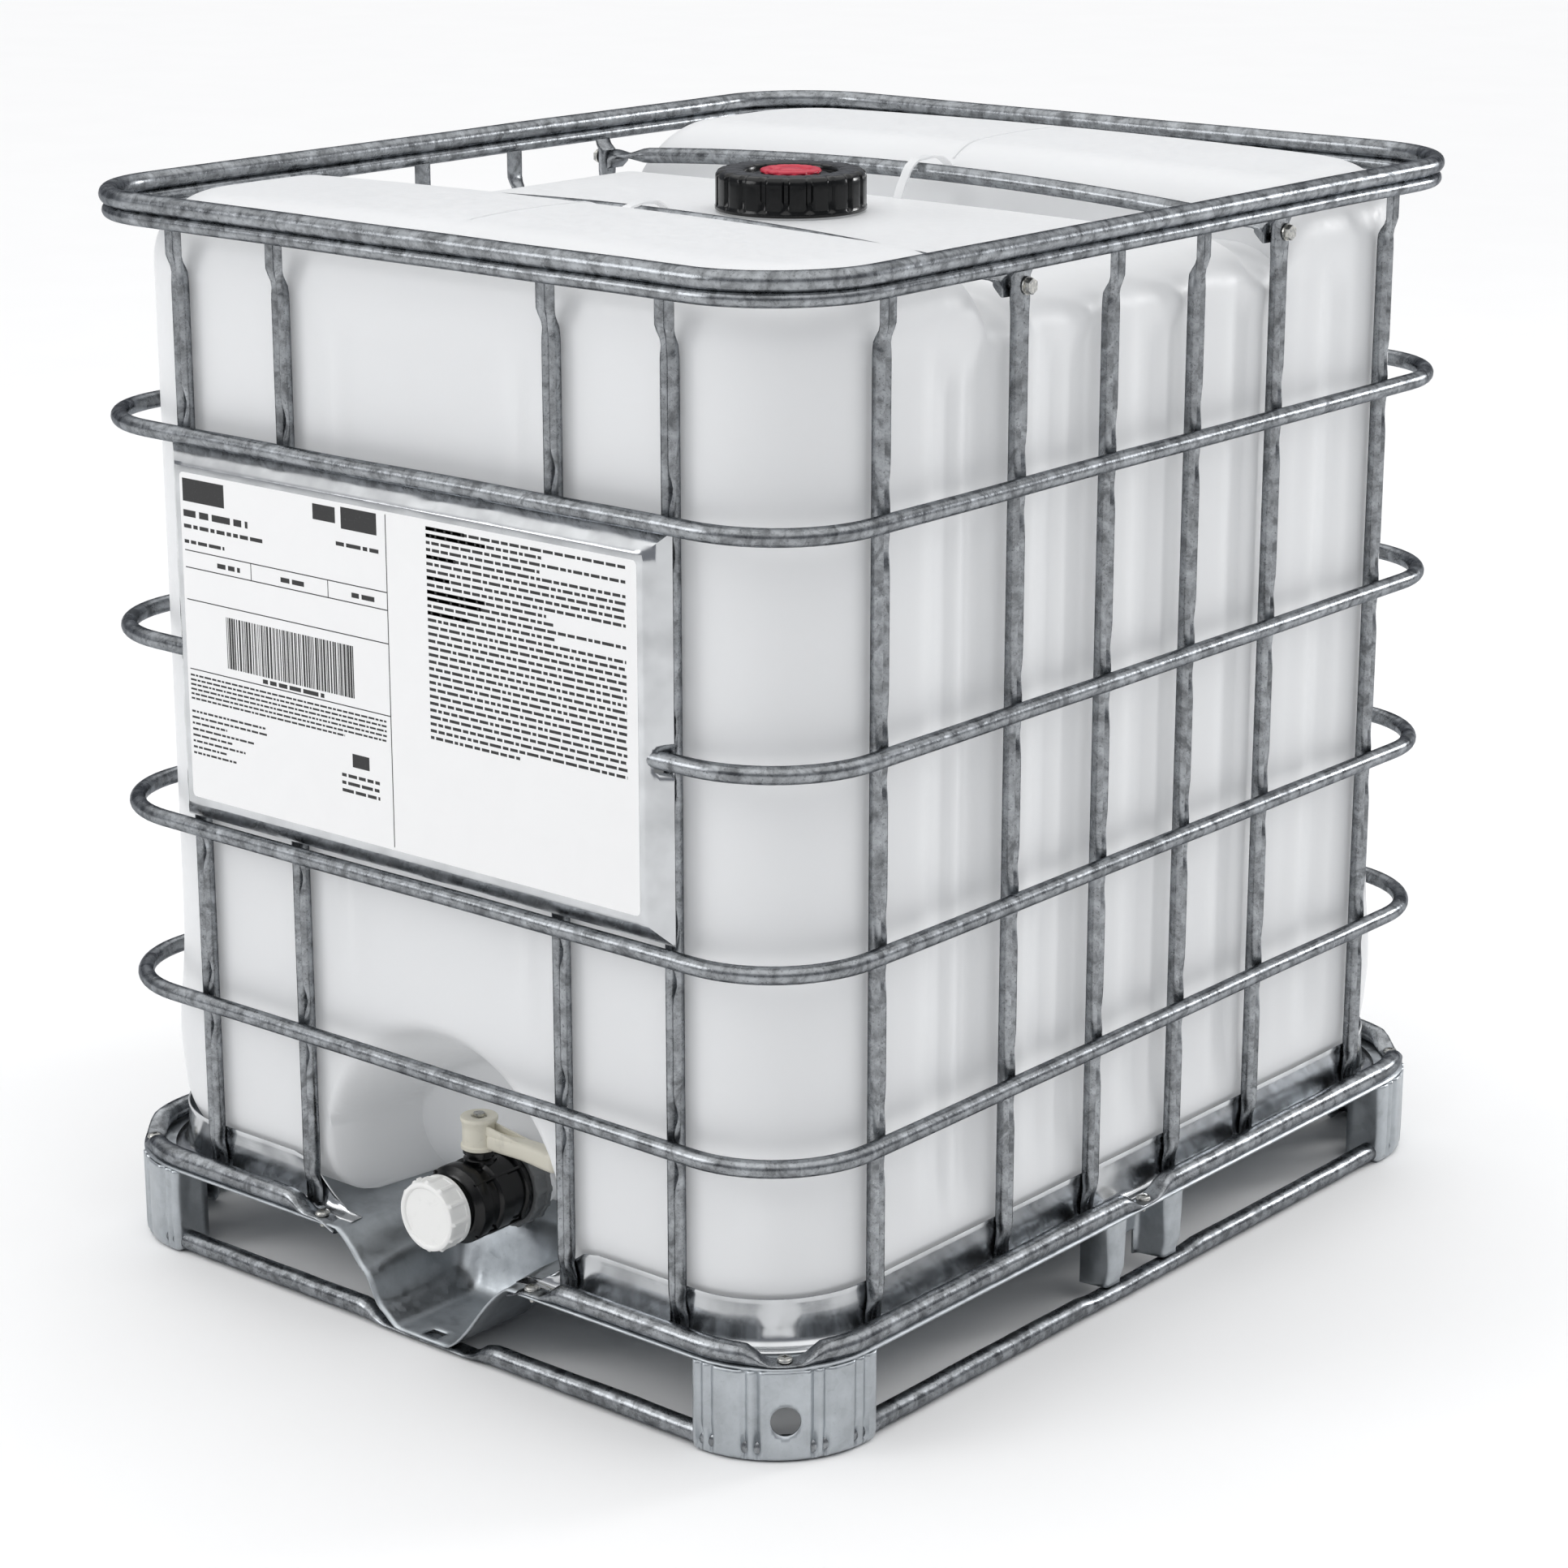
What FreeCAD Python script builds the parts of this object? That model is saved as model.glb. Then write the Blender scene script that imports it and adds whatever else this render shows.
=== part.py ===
"""Intermediate bulk container: a blown plastic tank in a tube cage on a steel pallet, in millimetres.

The origin lies on the floor under the middle of the container. +Z is up, the outlet valve faces -Y and the
long sides face +X and -X. Each physical piece is an object of the document and one STEP file in parts/.
"""
import FreeCAD
import Part
import math
import os

import Sketcher
from FreeCAD import Placement, Rotation, Vector

doc = FreeCAD.newDocument("BulkContainer")

# ---------------------------------------------------------------- driving dimensions
SIZES = {
    # outside and cage
    "pallet_half_x": 500, "pallet_half_y": 600, "outer_corner": 120, "overall_height": 1160,
    "cage_half_x": 490, "cage_half_y": 589.5, "cage_corner": 118, "tube_radius": 9,
    "ring_level_one": 917, "ring_level_two": 692, "ring_level_three": 497, "ring_level_four": 302,
    "rail_tube_radius": 10, "rail_bead_radius": 7.5, "rail_bead_drop": 16.5,
    # uprights
    "front_inner_x": 184, "front_outer_x": 332, "side_inner_y": 75, "side_bolted_y": 226,
    "side_outer_y": 437, "upright_low": 122, "upright_high": 1096, "tongue_top": 1129,
    "tongue_width": 24, "tongue_thick": 7, "lug_half_depth": 8.5,
    # cross bars
    "bar_radius": 9, "bar_end_level": 1108, "bar_rise": 19, "bar_lift": 4, "bar_reach": 440, "tab_inner": 458,
    "tab_thick": 5.5, "tab_width": 28, "tab_height": 30, "bolt_radius": 4, "bolt_play": 0.3,
    "bolt_head_radius": 8, "bolt_head_thick": 5.5, "washer_radius": 9, "washer_thick": 1.5,
    "nut_radius": 7.5, "nut_thick": 6,
    # pallet
    "sheet": 2, "deck_top": 99, "deck_half_x": 498, "deck_half_y": 598, "deck_corner": 118,
    "rim_half_x": 462.5, "rim_half_y": 562.3, "rim_corner": 122, "rim_top": 151, "rim_gap_half": 140,
    "pallet_tube_radius": 11, "top_ring_half_x": 489, "top_ring_half_y": 589, "top_ring_corner": 115,
    "top_ring_level": 110, "top_ring_gap_half": 125, "seat_radius": 26, "seat_level": 104,
    "screw_radius": 3, "screw_head_radius": 8, "screw_head_thick": 4, "screw_low": 90,
    "front_screw_x": 152, "skid_half_x": 485, "skid_half_y": 585, "skid_corner": 104, "skid_level": 13,
    "channel_top_half": 113, "channel_floor_half": 38, "channel_floor": 8, "channel_end": 434,
    "foot_wall": 2.5, "foot_reach_x": 130, "foot_reach_y": 136, "foot_return": 45, "foot_hole_radius": 15.5,
    "foot_hole_level": 44, "leg_outer": 70, "leg_inner": 35, "leg_face_depth": 5, "leg_web_depth": 42,
    # label plate
    "plate_half": 320, "plate_low": 530, "plate_high": 888, "plate_flange": 23, "plate_face": 599.7,
    "plate_back": 580.5, "plate_sheet": 0.8, "paper": 0.2, "paper_margin": 6, "tunnel_half": 12,
    # tank
    "tank_half_x": 461, "tank_half_y": 561, "tank_corner": 125, "tank_top": 1150, "tank_wall": 4,
    "tank_low_round": 75, "tank_top_round": 50, "band_level": 1105, "band_half": 194,
    "channel_half": 258, "channel_level": 1088, "neck_radius": 72, "neck_bore": 66, "neck_top": 1142,
    "recess_half": 165, "recess_spring": 175, "recess_back": 440,
    # lid and vent plug
    "lid_radius": 81.5, "lid_skirt_bore": 75, "lid_low": 1114, "lid_under": 1145, "lid_floor": 1150,
    "lid_top": 1156, "lid_dish_radius": 50, "vent_bore": 27, "vent_shank": 26.5, "vent_low": 1137,
    "vent_seat": 1153, "vent_top": 1157, "vent_head": 33, "gasket_inner": 60, "gasket_outer": 73,
    # outlet valve
    "valve_level": 140, "spigot_radius": 36, "spigot_end": 460, "nut_bore": 36.6, "union_radius": 48,
    "union_back": 446, "union_front": 469.5, "gasket_bore": 27, "valve_back": 463, "body_back": 470,
    "body_front": 548, "body_radius": 42.5, "valve_bore": 25, "outlet_radius": 30, "outlet_end": 580,
    "stem_y": 505, "boss_radius": 18, "boss_top": 192, "stem_radius": 7, "stem_low": 112, "spindle": 5,
    "stem_top": 206, "disc_radius": 24.7, "disc_thick": 5, "disc_hub": 8, "disc_hub_half": 22,
    "hub_radius": 20, "hub_low": 193, "hub_top": 228, "arm_length": 115, "arm_half": 11, "arm_low": 198,
    "arm_top": 212, "lever_screw_radius": 2.5, "fit_play": 0.05, "cap_radius": 39, "cap_bore": 31.5,
    "cap_back": 558, "cap_face": 587, "seal_thick": 3, "seal_groove_low": 176, "groove_radius": 5.6,
}

sheet = doc.addObject("Spreadsheet::Sheet", "Sizes")
for row, (alias, number) in enumerate(SIZES.items(), start=1):
    sheet.set(f"A{row}", alias)
    sheet.set(f"B{row}", str(number))
    sheet.setAlias(f"B{row}", alias)
doc.recompute()

PIECES = []


# ---------------------------------------------------------------- small helpers
def formula(text):
    """Writes the sheet's name before each alias in a formula."""
    words = []
    word = ""
    for letter in f"{text} ":
        if letter.isalnum() or letter in "_.":
            word += letter
        else:
            words.append(f"Sizes.{word}" if word in SIZES else word)
            words.append(letter)
            word = ""
    return "".join(words).strip()


def size(text):
    """Works a formula out to a plain number."""
    return float(sheet.evalExpression(formula(text)))


def drive(thing, field, text):
    thing.setExpression(field, formula(text))


def keep(piece, label):
    """Marks an object as a sub-part that is written to parts/LABEL.step."""
    piece.Label = label
    PIECES.append(piece)
    return piece


def new_body(label):
    return keep(doc.addObject("PartDesign::Body", label), label)


def sketch_on(body, name, plane="XY_Plane", level="0", turn=0.0):
    """A sketch on one of the body's own origin planes, moved along the normal by a formula."""
    sketch = body.newObject("Sketcher::SketchObject", f"{body.Name}_{name}")
    support = next(feature for feature in body.Origin.OriginFeatures if feature.Role == plane)
    sketch.AttachmentSupport = (support, [""])
    sketch.MapMode = "FlatFace"
    sketch.AttachmentOffset = Placement(Vector(0, 0, 0), Rotation(Vector(0, 1, 0), turn))
    drive(sketch, "AttachmentOffset.Base.z", level)
    return sketch


def pin_point(sketch, geometry, point, across, along):
    """Ties one point of the sketch to two formulas measured from the sketch's origin."""
    for kind, axis, text in (("DistanceX", -2, across), ("DistanceY", -1, along)):
        value = size(text)
        if abs(value) < 1e-9:
            sketch.addConstraint(Sketcher.Constraint("PointOnObject", geometry, point, axis))
            continue
        index = sketch.addConstraint(Sketcher.Constraint(kind, -1, 1, geometry, point, value))
        drive(sketch, f"Constraints[{index}]", text)


def circle(sketch, across, along, radius):
    shape = Part.Circle(Vector(size(across), size(along), 0), Vector(0, 0, 1), size(radius))
    geometry = sketch.addGeometry(shape)
    pin_point(sketch, geometry, 3, across, along)
    index = sketch.addConstraint(Sketcher.Constraint("Radius", geometry, size(radius)))
    drive(sketch, f"Constraints[{index}]", radius)


def outline(sketch, points):
    """A closed outline of straight lines through points given as pairs of formulas."""
    places = [Vector(size(across), size(along), 0) for across, along in points]
    lines = []
    for start, end in zip(places, places[1:] + places[:1]):
        lines.append(sketch.addGeometry(Part.LineSegment(start, end)))
    for line, following in zip(lines, lines[1:] + lines[:1]):
        sketch.addConstraint(Sketcher.Constraint("Coincident", line, 2, following, 1))
    for line, (across, along) in zip(lines, points):
        pin_point(sketch, line, 1, across, along)


def rectangle(sketch, left, low, right, high):
    outline(sketch, [(left, low), (right, low), (right, high), (left, high)])


def rounded_loop(sketch, half_x, half_y, corner, split=False):
    """A rectangle with round corners about the sketch's origin; split starts it at the +X side's middle."""
    hx, hy, r = size(half_x), size(half_y), size(corner)
    middle = (hx - r, hy - r)

    def line(*ends):
        return sketch.addGeometry(Part.LineSegment(Vector(*ends[:2], 0), Vector(*ends[2:], 0)))

    def arc(sign_x, sign_y, start):
        centre = Vector(sign_x * middle[0], sign_y * middle[1], 0)
        round_corner = Part.Circle(centre, Vector(0, 0, 1), r)
        return sketch.addGeometry(Part.ArcOfCircle(round_corner, start, start + math.pi / 2))

    quarter = math.pi / 2
    right = line(hx, 0 if split else -middle[1], hx, middle[1])
    corners = [arc(1, 1, 0)]
    back = line(middle[0], hy, -middle[0], hy)
    corners.append(arc(-1, 1, quarter))
    left = line(-hx, middle[1], -hx, -middle[1])
    corners.append(arc(-1, -1, 2 * quarter))
    front = line(-middle[0], -hy, middle[0], -hy)
    corners.append(arc(1, -1, 3 * quarter))
    chain = [right, corners[0], back, corners[1], left, corners[2], front, corners[3]]
    if split:
        chain.append(line(hx, -middle[1], hx, 0))
    for first, second in zip(chain, chain[1:]):
        sketch.addConstraint(Sketcher.Constraint("Tangent", first, 2, second, 1))
    closing = "Coincident" if split else "Tangent"
    sketch.addConstraint(Sketcher.Constraint(closing, chain[-1], 2, chain[0], 1))
    for other in corners[1:]:
        sketch.addConstraint(Sketcher.Constraint("Equal", corners[0], other))
    sketch.addConstraint(Sketcher.Constraint("Symmetric", back, 1, back, 2, -2))
    sketch.addConstraint(Sketcher.Constraint("Symmetric", left, 1, left, 2, -1))
    if split:
        sketch.addConstraint(Sketcher.Constraint("Vertical", right))
        sketch.addConstraint(Sketcher.Constraint("Vertical", chain[-1]))
        sketch.addConstraint(Sketcher.Constraint("PointOnObject", right, 1, -1))
    index = sketch.addConstraint(Sketcher.Constraint("Radius", corners[0], r))
    drive(sketch, f"Constraints[{index}]", corner)
    for kind, side, text in (("DistanceX", right, half_x), ("DistanceY", back, half_y)):
        index = sketch.addConstraint(Sketcher.Constraint(kind, -1, 1, side, 1, size(text)))
        drive(sketch, f"Constraints[{index}]", text)


def pad(body, sketch, length, both_ways=False, backwards=False):
    feature = body.newObject("PartDesign::Pad", f"{sketch.Name}_pad")
    feature.Profile = sketch
    drive(feature, "Length", length)
    feature.SideType = "Symmetric" if both_ways else "One side"
    feature.Reversed = backwards
    return feature


def pocket(body, sketch, length, both_ways=False, backwards=False):
    feature = body.newObject("PartDesign::Pocket", f"{sketch.Name}_pocket")
    feature.Profile = sketch
    drive(feature, "Length", length)
    feature.SideType = "Symmetric" if both_ways else "One side"
    feature.Reversed = backwards
    return feature


def fillet(body, radius, wanted):
    """Rounds the edges of the body's last feature whose middle point passes the test."""
    doc.recompute()
    base = body.Tip
    names = [f"Edge{number}" for number, edge in enumerate(base.Shape.Edges, start=1)
             if wanted(edge.valueAt((edge.FirstParameter + edge.LastParameter) / 2), edge)]
    feature = body.newObject("PartDesign::Fillet", f"{body.Name}_round")
    feature.Base = (base, names)
    drive(feature, "Radius", radius)
    return feature


def revolve(body, sketch):
    """Turns a half section, drawn in the XZ plane, once round the Z axis."""
    feature = body.newObject("PartDesign::Revolution", f"{sketch.Name}_turn")
    feature.Profile = sketch
    feature.ReferenceAxis = (sketch, ["V_Axis"])
    feature.Angle = 360
    return feature


def put(piece, across="0", along="0", up="0", turn=0.0):
    """Places a piece: turned about Z, then moved by three formulas."""
    piece.Placement = Placement(Vector(0, 0, 0), Rotation(Vector(0, 0, 1), turn))
    for axis, text in (("x", across), ("y", along), ("z", up)):
        drive(piece, f"Placement.Base.{axis}", text)
    return piece


# ---------------------------------------------------------------- closed tubes
def tube_ring(body, name, half_x, half_y, corner, level, radius):
    """A round tube bent into a closed loop with round corners."""
    path = sketch_on(body, f"{name}_path", level=level)
    rounded_loop(path, half_x, half_y, corner, split=True)
    section = sketch_on(body, f"{name}_section", "XZ_Plane")
    circle(section, half_x, level, radius)
    tube = body.newObject("PartDesign::AdditivePipe", f"{body.Name}_{name}")
    tube.Profile = section
    tube.Spine = (path, [])
    return tube


def cage_ring(label, level):
    body = new_body(label)
    tube_ring(body, "tube", "cage_half_x", "cage_half_y", "cage_corner", level, "tube_radius")


def top_rail():
    """The rail's rolled section: a round tube on top and a smaller bead below it."""
    body = new_body("top_rail")
    half_x = "pallet_half_x - rail_tube_radius"
    half_y = "pallet_half_y - rail_tube_radius"
    level = "overall_height - rail_tube_radius"
    tube_ring(body, "tube", half_x, half_y, "cage_corner", level, "rail_tube_radius")
    bead_level = "overall_height - rail_tube_radius - rail_bead_drop"
    tube_ring(body, "bead", half_x, half_y, "cage_corner", bead_level, "rail_bead_radius")


# ---------------------------------------------------------------- uprights and cross bars
def upright(label, across, along, turn, bolted=False):
    """A round tube with flattened tongues at both ends; local -Y faces out of the cage."""
    body = new_body(label)
    tube = sketch_on(body, "tube", level="upright_low")
    circle(tube, "0", "0", "tube_radius")
    pad(body, tube, "upright_high - upright_low")
    foot = sketch_on(body, "foot", level="deck_top")
    rectangle(foot, "-tongue_width / 2", "0 - 1", "tongue_width / 2", "tongue_thick - 1")
    pad(body, foot, "upright_low - deck_top + 1")
    if bolted:
        lug = sketch_on(body, "lug", level="upright_high - 1")
        rectangle(lug, "-tongue_width / 2", "-lug_half_depth", "tongue_width / 2", "lug_half_depth")
        pad(body, lug, "tongue_width + 1")
        hole = sketch_on(body, "hole", "XZ_Plane")
        circle(hole, "0", "bar_end_level", "bolt_radius + bolt_play")
        pocket(body, hole, "tongue_width * 2", both_ways=True)
    tip_low = "upright_high + tongue_width" if bolted else "upright_high"
    tip = sketch_on(body, "tip", level=f"{tip_low} - 1")
    rectangle(tip, "-tongue_width / 2", "-tube_radius - 2", "tongue_width / 2",
              "tongue_thick - tube_radius - 2")
    pad(body, tip, f"tongue_top - ({tip_low}) + 1")
    put(body, across, along, turn=turn)


def all_uprights():
    inset_x = "(cage_half_x - tube_radius * 2)"
    inset_y = "(cage_half_y - tube_radius * 2)"
    fronts = ("-front_outer_x", "-front_inner_x", "front_inner_x", "front_outer_x")
    sides = ("-side_outer_y", "-side_bolted_y", "-side_inner_y",
             "side_inner_y", "side_bolted_y", "side_outer_y")
    for number, place in enumerate(fronts, start=1):
        upright(f"front_upright_{number}", place, f"-{inset_y}", 0)
        upright(f"rear_upright_{number}", place, inset_y, 180)
    for number, place in enumerate(sides, start=1):
        bolted = "bolted" in place
        upright(f"right_upright_{number}", inset_x, place, 90, bolted)
        upright(f"left_upright_{number}", f"-{inset_x}", place, -90, bolted)


def cross_bar(label, along):
    """An arched round bar along X whose flattened ends stand against two side uprights."""
    body = new_body(label)
    tube_end = "bar_end_level + bar_lift"
    section = sketch_on(body, "section", "YZ_Plane", level="-bar_reach")
    circle(section, "0", tube_end, "bar_radius")
    path = sketch_on(body, "path", "XZ_Plane")
    reach, low, rise = size("bar_reach"), size(tube_end), size("bar_rise")
    bow = path.addGeometry(Part.Arc(Vector(-reach, low, 0), Vector(0, low + rise, 0), Vector(reach, low, 0)))
    for point, across in ((2, "-bar_reach"), (1, "bar_reach")):
        pin_point(path, bow, point, across, tube_end)
    radius = "(bar_reach * bar_reach + bar_rise * bar_rise) / (2 * bar_rise)"
    index = path.addConstraint(Sketcher.Constraint("Radius", bow, size(radius)))
    drive(path, f"Constraints[{index}]", radius)
    tube = body.newObject("PartDesign::AdditivePipe", f"{label}_tube")
    tube.Profile = section
    tube.Spine = (path, [])
    tab_low, tab_high = "bar_end_level - tab_height / 2", "bar_end_level + tab_height / 2"
    for side, sign in (("left", "-"), ("right", "")):
        strap = sketch_on(body, f"{side}_strap", "YZ_Plane", level=f"{sign}(bar_reach - bar_radius)")
        rectangle(strap, "-tab_width / 2", f"{tab_high} - tab_thick", "tab_width / 2", tab_high)
        pad(body, strap, "tab_inner + tab_thick - bar_reach + bar_radius", backwards=bool(sign))
        tab = sketch_on(body, f"{side}_tab", "YZ_Plane", level=f"{sign}tab_inner")
        rectangle(tab, "-tab_width / 2", tab_low, "tab_width / 2", tab_high)
        pad(body, tab, "tab_thick", backwards=bool(sign))
        hole = sketch_on(body, f"{side}_hole", "YZ_Plane", level=f"{sign}(tab_inner - 1)")
        circle(hole, "0", "bar_end_level", "bolt_radius + bolt_play")
        pocket(body, hole, "tab_thick + 2", backwards=not sign)
    put(body, along=along)


def group(label, pieces):
    """Several loose solids of one kind in one node."""
    bundle = doc.addObject("Part::Compound", label)
    bundle.Links = pieces
    return keep(bundle, label)


def rod(name, radius, length, across, along, up, axis, shape="Part::Cylinder"):
    """A cylinder, or a hexagonal prism, along an axis from a place given as formulas."""
    piece = doc.addObject(shape, name)
    drive(piece, "Circumradius" if shape == "Part::Prism" else "Radius", radius)
    drive(piece, "Height", length)
    piece.Placement = Placement(Vector(0, 0, 0), Rotation(Vector(0, 0, 1), axis))
    for field, text in (("x", across), ("y", along), ("z", up)):
        drive(piece, f"Placement.Base.{field}", text)
    return piece


def bar_fasteners():
    """A bolt, a washer and a nut at each end of both cross bars."""
    bolts, washers, nuts = [], [], []
    face = "(cage_half_x - tube_radius * 2 + lug_half_depth)"
    for side, sign in (("right", 1), ("left", -1)):
        for place, along in (("front", "-side_bolted_y"), ("rear", "side_bolted_y")):
            axis = Vector(sign, 0, 0)
            name = f"{side}_{place}"
            mark = "" if sign > 0 else "-"
            spot = (along, "bar_end_level", axis)
            head = rod(f"bolt_head_{name}", "bolt_head_radius", "bolt_head_thick",
                       f"{mark}({face} + washer_thick)", *spot, shape="Part::Prism")
            shank = rod(f"bolt_shank_{name}", "bolt_radius",
                        f"{face} + washer_thick - tab_inner + nut_thick + 3",
                        f"{mark}(tab_inner - nut_thick - 3)", *spot)
            bolt = doc.addObject("Part::Fuse", f"bolt_{name}")
            bolt.Base, bolt.Tool = head, shank
            bolts.append(bolt)
            disc = rod(f"washer_disc_{name}", "washer_radius", "washer_thick", f"{mark}{face}", *spot)
            prism = rod(f"nut_prism_{name}", "nut_radius", "nut_thick",
                        f"{mark}(tab_inner - nut_thick)", *spot, shape="Part::Prism")
            for kind, blank, row in (("washer", disc, washers), ("nut", prism, nuts)):
                bore = rod(f"{kind}_bore_{name}", "bolt_radius + fit_play", "bar_reach",
                           f"{mark}(tab_inner - nut_thick * 4)", *spot)
                ring = doc.addObject("Part::Cut", f"{kind}_{name}")
                ring.Base, ring.Tool = blank, bore
                row.append(ring)
    group("bar_bolts", bolts)
    group("bar_washers", washers)
    group("bar_nuts", nuts)


# ---------------------------------------------------------------- pallet
def screw_places():
    """Where the pallet screws stand: the four corners, both long sides, the rear and beside the channel."""
    reach = "top_ring_corner * (1 - sqrt(2) / 2)"
    places = []
    for sign_x in ("", "-"):
        for sign_y in ("", "-"):
            places.append((f"{sign_x}(top_ring_half_x - {reach})", f"{sign_y}(top_ring_half_y - {reach})"))
        places.append((f"{sign_x}top_ring_half_x", "0"))
        places.append((f"{sign_x}front_screw_x", "-top_ring_half_y"))
    places.append(("0", "top_ring_half_y"))
    return places


def pallet_top_ring():
    """The pallet's upper tube: open at the drain channel, pressed to flat seats under the screws."""
    body = new_body("pallet_top_ring")
    tube_ring(body, "tube", "top_ring_half_x", "top_ring_half_y", "top_ring_corner", "top_ring_level",
              "pallet_tube_radius")
    gap = sketch_on(body, "gap", level="deck_top - 1")
    rectangle(gap, "-top_ring_gap_half", "-pallet_half_y - 5", "top_ring_gap_half", "-top_ring_half_y + 40")
    pocket(body, gap, "pallet_tube_radius * 3", backwards=True)
    seats = sketch_on(body, "seats", level="seat_level")
    holes = sketch_on(body, "holes", level="deck_top - 1")
    for across, along in screw_places():
        circle(seats, across, along, "seat_radius")
        circle(holes, across, along, "screw_radius + bolt_play")
    pocket(body, seats, "pallet_tube_radius * 2", backwards=True)
    pocket(body, holes, "pallet_tube_radius * 2", backwards=True)


def pallet_screws():
    screws = []
    for number, (across, along) in enumerate(screw_places(), start=1):
        upwards = Vector(0, 0, 1)
        head = rod(f"screw_head_{number}", "screw_head_radius", "screw_head_thick", across, along,
                   "seat_level", upwards)
        shank = rod(f"screw_shank_{number}", "screw_radius", "seat_level - screw_low", across, along,
                    "screw_low", upwards)
        screw = doc.addObject("Part::Fuse", f"screw_{number}")
        screw.Base, screw.Tool = head, shank
        screws.append(screw)
    group("pallet_screws", screws)


def deck_pan():
    """The pressed deck: a flat sheet with a raised rim round the tank and a drain channel at the front."""
    body = new_body("deck_pan")
    plate = sketch_on(body, "plate", level="deck_top - sheet")
    rounded_loop(plate, "deck_half_x", "deck_half_y", "deck_corner")
    pad(body, plate, "sheet")
    rim = sketch_on(body, "rim", level="deck_top")
    rounded_loop(rim, "rim_half_x", "rim_half_y", "rim_corner")
    rounded_loop(rim, "rim_half_x - sheet", "rim_half_y - sheet", "rim_corner - sheet")
    pad(body, rim, "rim_top - deck_top")
    gap = sketch_on(body, "gap", level="deck_top")
    rectangle(gap, "-rim_gap_half", "-pallet_half_y", "rim_gap_half", "-rim_half_y + 60")
    pocket(body, gap, "rim_top", backwards=True)
    mouth = sketch_on(body, "mouth", level="deck_top - sheet - 1")
    rectangle(mouth, "-channel_top_half", "-pallet_half_y", "channel_top_half", "-channel_end")
    pocket(body, mouth, "sheet + 2", backwards=True)
    trough = sketch_on(body, "trough", "XZ_Plane", level="channel_end")
    outline(trough, [
        ("-channel_top_half - sheet", "deck_top"), ("-channel_floor_half - sheet", "channel_floor"),
        ("channel_floor_half + sheet", "channel_floor"), ("channel_top_half + sheet", "deck_top"),
        ("channel_top_half", "deck_top"), ("channel_floor_half", "channel_floor + sheet"),
        ("-channel_floor_half", "channel_floor + sheet"), ("-channel_top_half", "deck_top")])
    pad(body, trough, "deck_half_y - channel_end")
    end = sketch_on(body, "end", "XZ_Plane", level="channel_end - sheet")
    outline(end, [
        ("-channel_top_half - sheet", "deck_top"), ("-channel_floor_half - sheet", "channel_floor"),
        ("channel_floor_half + sheet", "channel_floor"), ("channel_top_half + sheet", "deck_top")])
    pad(body, end, "sheet")
    holes = sketch_on(body, "holes", level="deck_top - sheet - 1")
    for across, along in screw_places():
        circle(holes, across, along, "screw_radius + bolt_play")
    pocket(body, holes, "sheet + 2", backwards=True)


def skid_ring():
    """The bottom tube, pressed flat where the drain channel stands on it."""
    body = new_body("skid_ring")
    tube_ring(body, "tube", "skid_half_x", "skid_half_y", "skid_corner", "skid_level", "pallet_tube_radius")
    flat = sketch_on(body, "flat", level="channel_floor")
    half = "channel_floor_half + sheet + 16"
    rectangle(flat, f"-({half})", "-pallet_half_y", half, "-skid_half_y + 40")
    pocket(body, flat, "pallet_tube_radius * 3", backwards=True)


def corner_foot(label, x_sign, y_sign):
    """A sheet foot round a pallet corner: curved wall, returns cut out for the tube, base and round hole."""
    body = new_body(label)
    outer_x, outer_y = f"{x_sign}pallet_half_x", f"{y_sign}pallet_half_y"
    edge_x = f"{x_sign}(pallet_half_x - foot_reach_x)"
    edge_y = f"{y_sign}(pallet_half_y - foot_reach_y)"
    block = sketch_on(body, "block")
    rectangle(block, edge_x, edge_y, outer_x, outer_y)
    pad(body, block, "deck_top - sheet")
    inner_x, inner_y = f"{x_sign}(pallet_half_x - foot_wall)", f"{y_sign}(pallet_half_y - foot_wall)"

    def standing_at(across, along):
        place_x, place_y = size(across), size(along)
        return lambda middle, edge: abs(middle.x - place_x) < 0.1 and abs(middle.y - place_y) < 0.1

    inside = sketch_on(body, "inside", level="sheet")
    rectangle(inside, f"{x_sign}(pallet_half_x - foot_reach_x + foot_wall)",
              f"{y_sign}(pallet_half_y - foot_reach_y + foot_wall)", inner_x, inner_y)
    pocket(body, inside, "deck_top", backwards=True)
    fillet(body, "outer_corner - foot_wall", standing_at(inner_x, inner_y))
    fillet(body, "outer_corner", standing_at(outer_x, outer_y))
    opening = sketch_on(body, "opening", level="-1")
    rectangle(opening, f"{x_sign}(pallet_half_x - foot_reach_x - 1)",
              f"{y_sign}(pallet_half_y - foot_reach_y - 1)",
              f"{x_sign}(pallet_half_x - foot_return)", f"{y_sign}(pallet_half_y - foot_return)")
    pocket(body, opening, "deck_top + 2", backwards=True)
    hole = sketch_on(body, "hole", "XZ_Plane", turn=-45 if x_sign == y_sign else 45)
    circle(hole, f"{x_sign}(pallet_half_x - pallet_half_y) / sqrt(2)", "foot_hole_level", "foot_hole_radius")
    pocket(body, hole, "pallet_half_y * 3", both_ways=True)
    tube = "pallet_tube_radius + fit_play"
    way_x = sketch_on(body, "way_x", "YZ_Plane", level=f"{x_sign}(pallet_half_x - foot_reach_x - 1)")
    circle(way_x, f"{y_sign}skid_half_y", "skid_level", tube)
    pocket(body, way_x, "foot_wall + 2", backwards=not x_sign)
    inward = "" if y_sign else "-"
    way_y = sketch_on(body, "way_y", "XZ_Plane", level=f"{inward}(pallet_half_y - foot_reach_y - 1)")
    circle(way_y, f"{x_sign}skid_half_x", "skid_level", tube)
    pocket(body, way_y, "foot_wall + 2", backwards=bool(y_sign))


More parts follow.
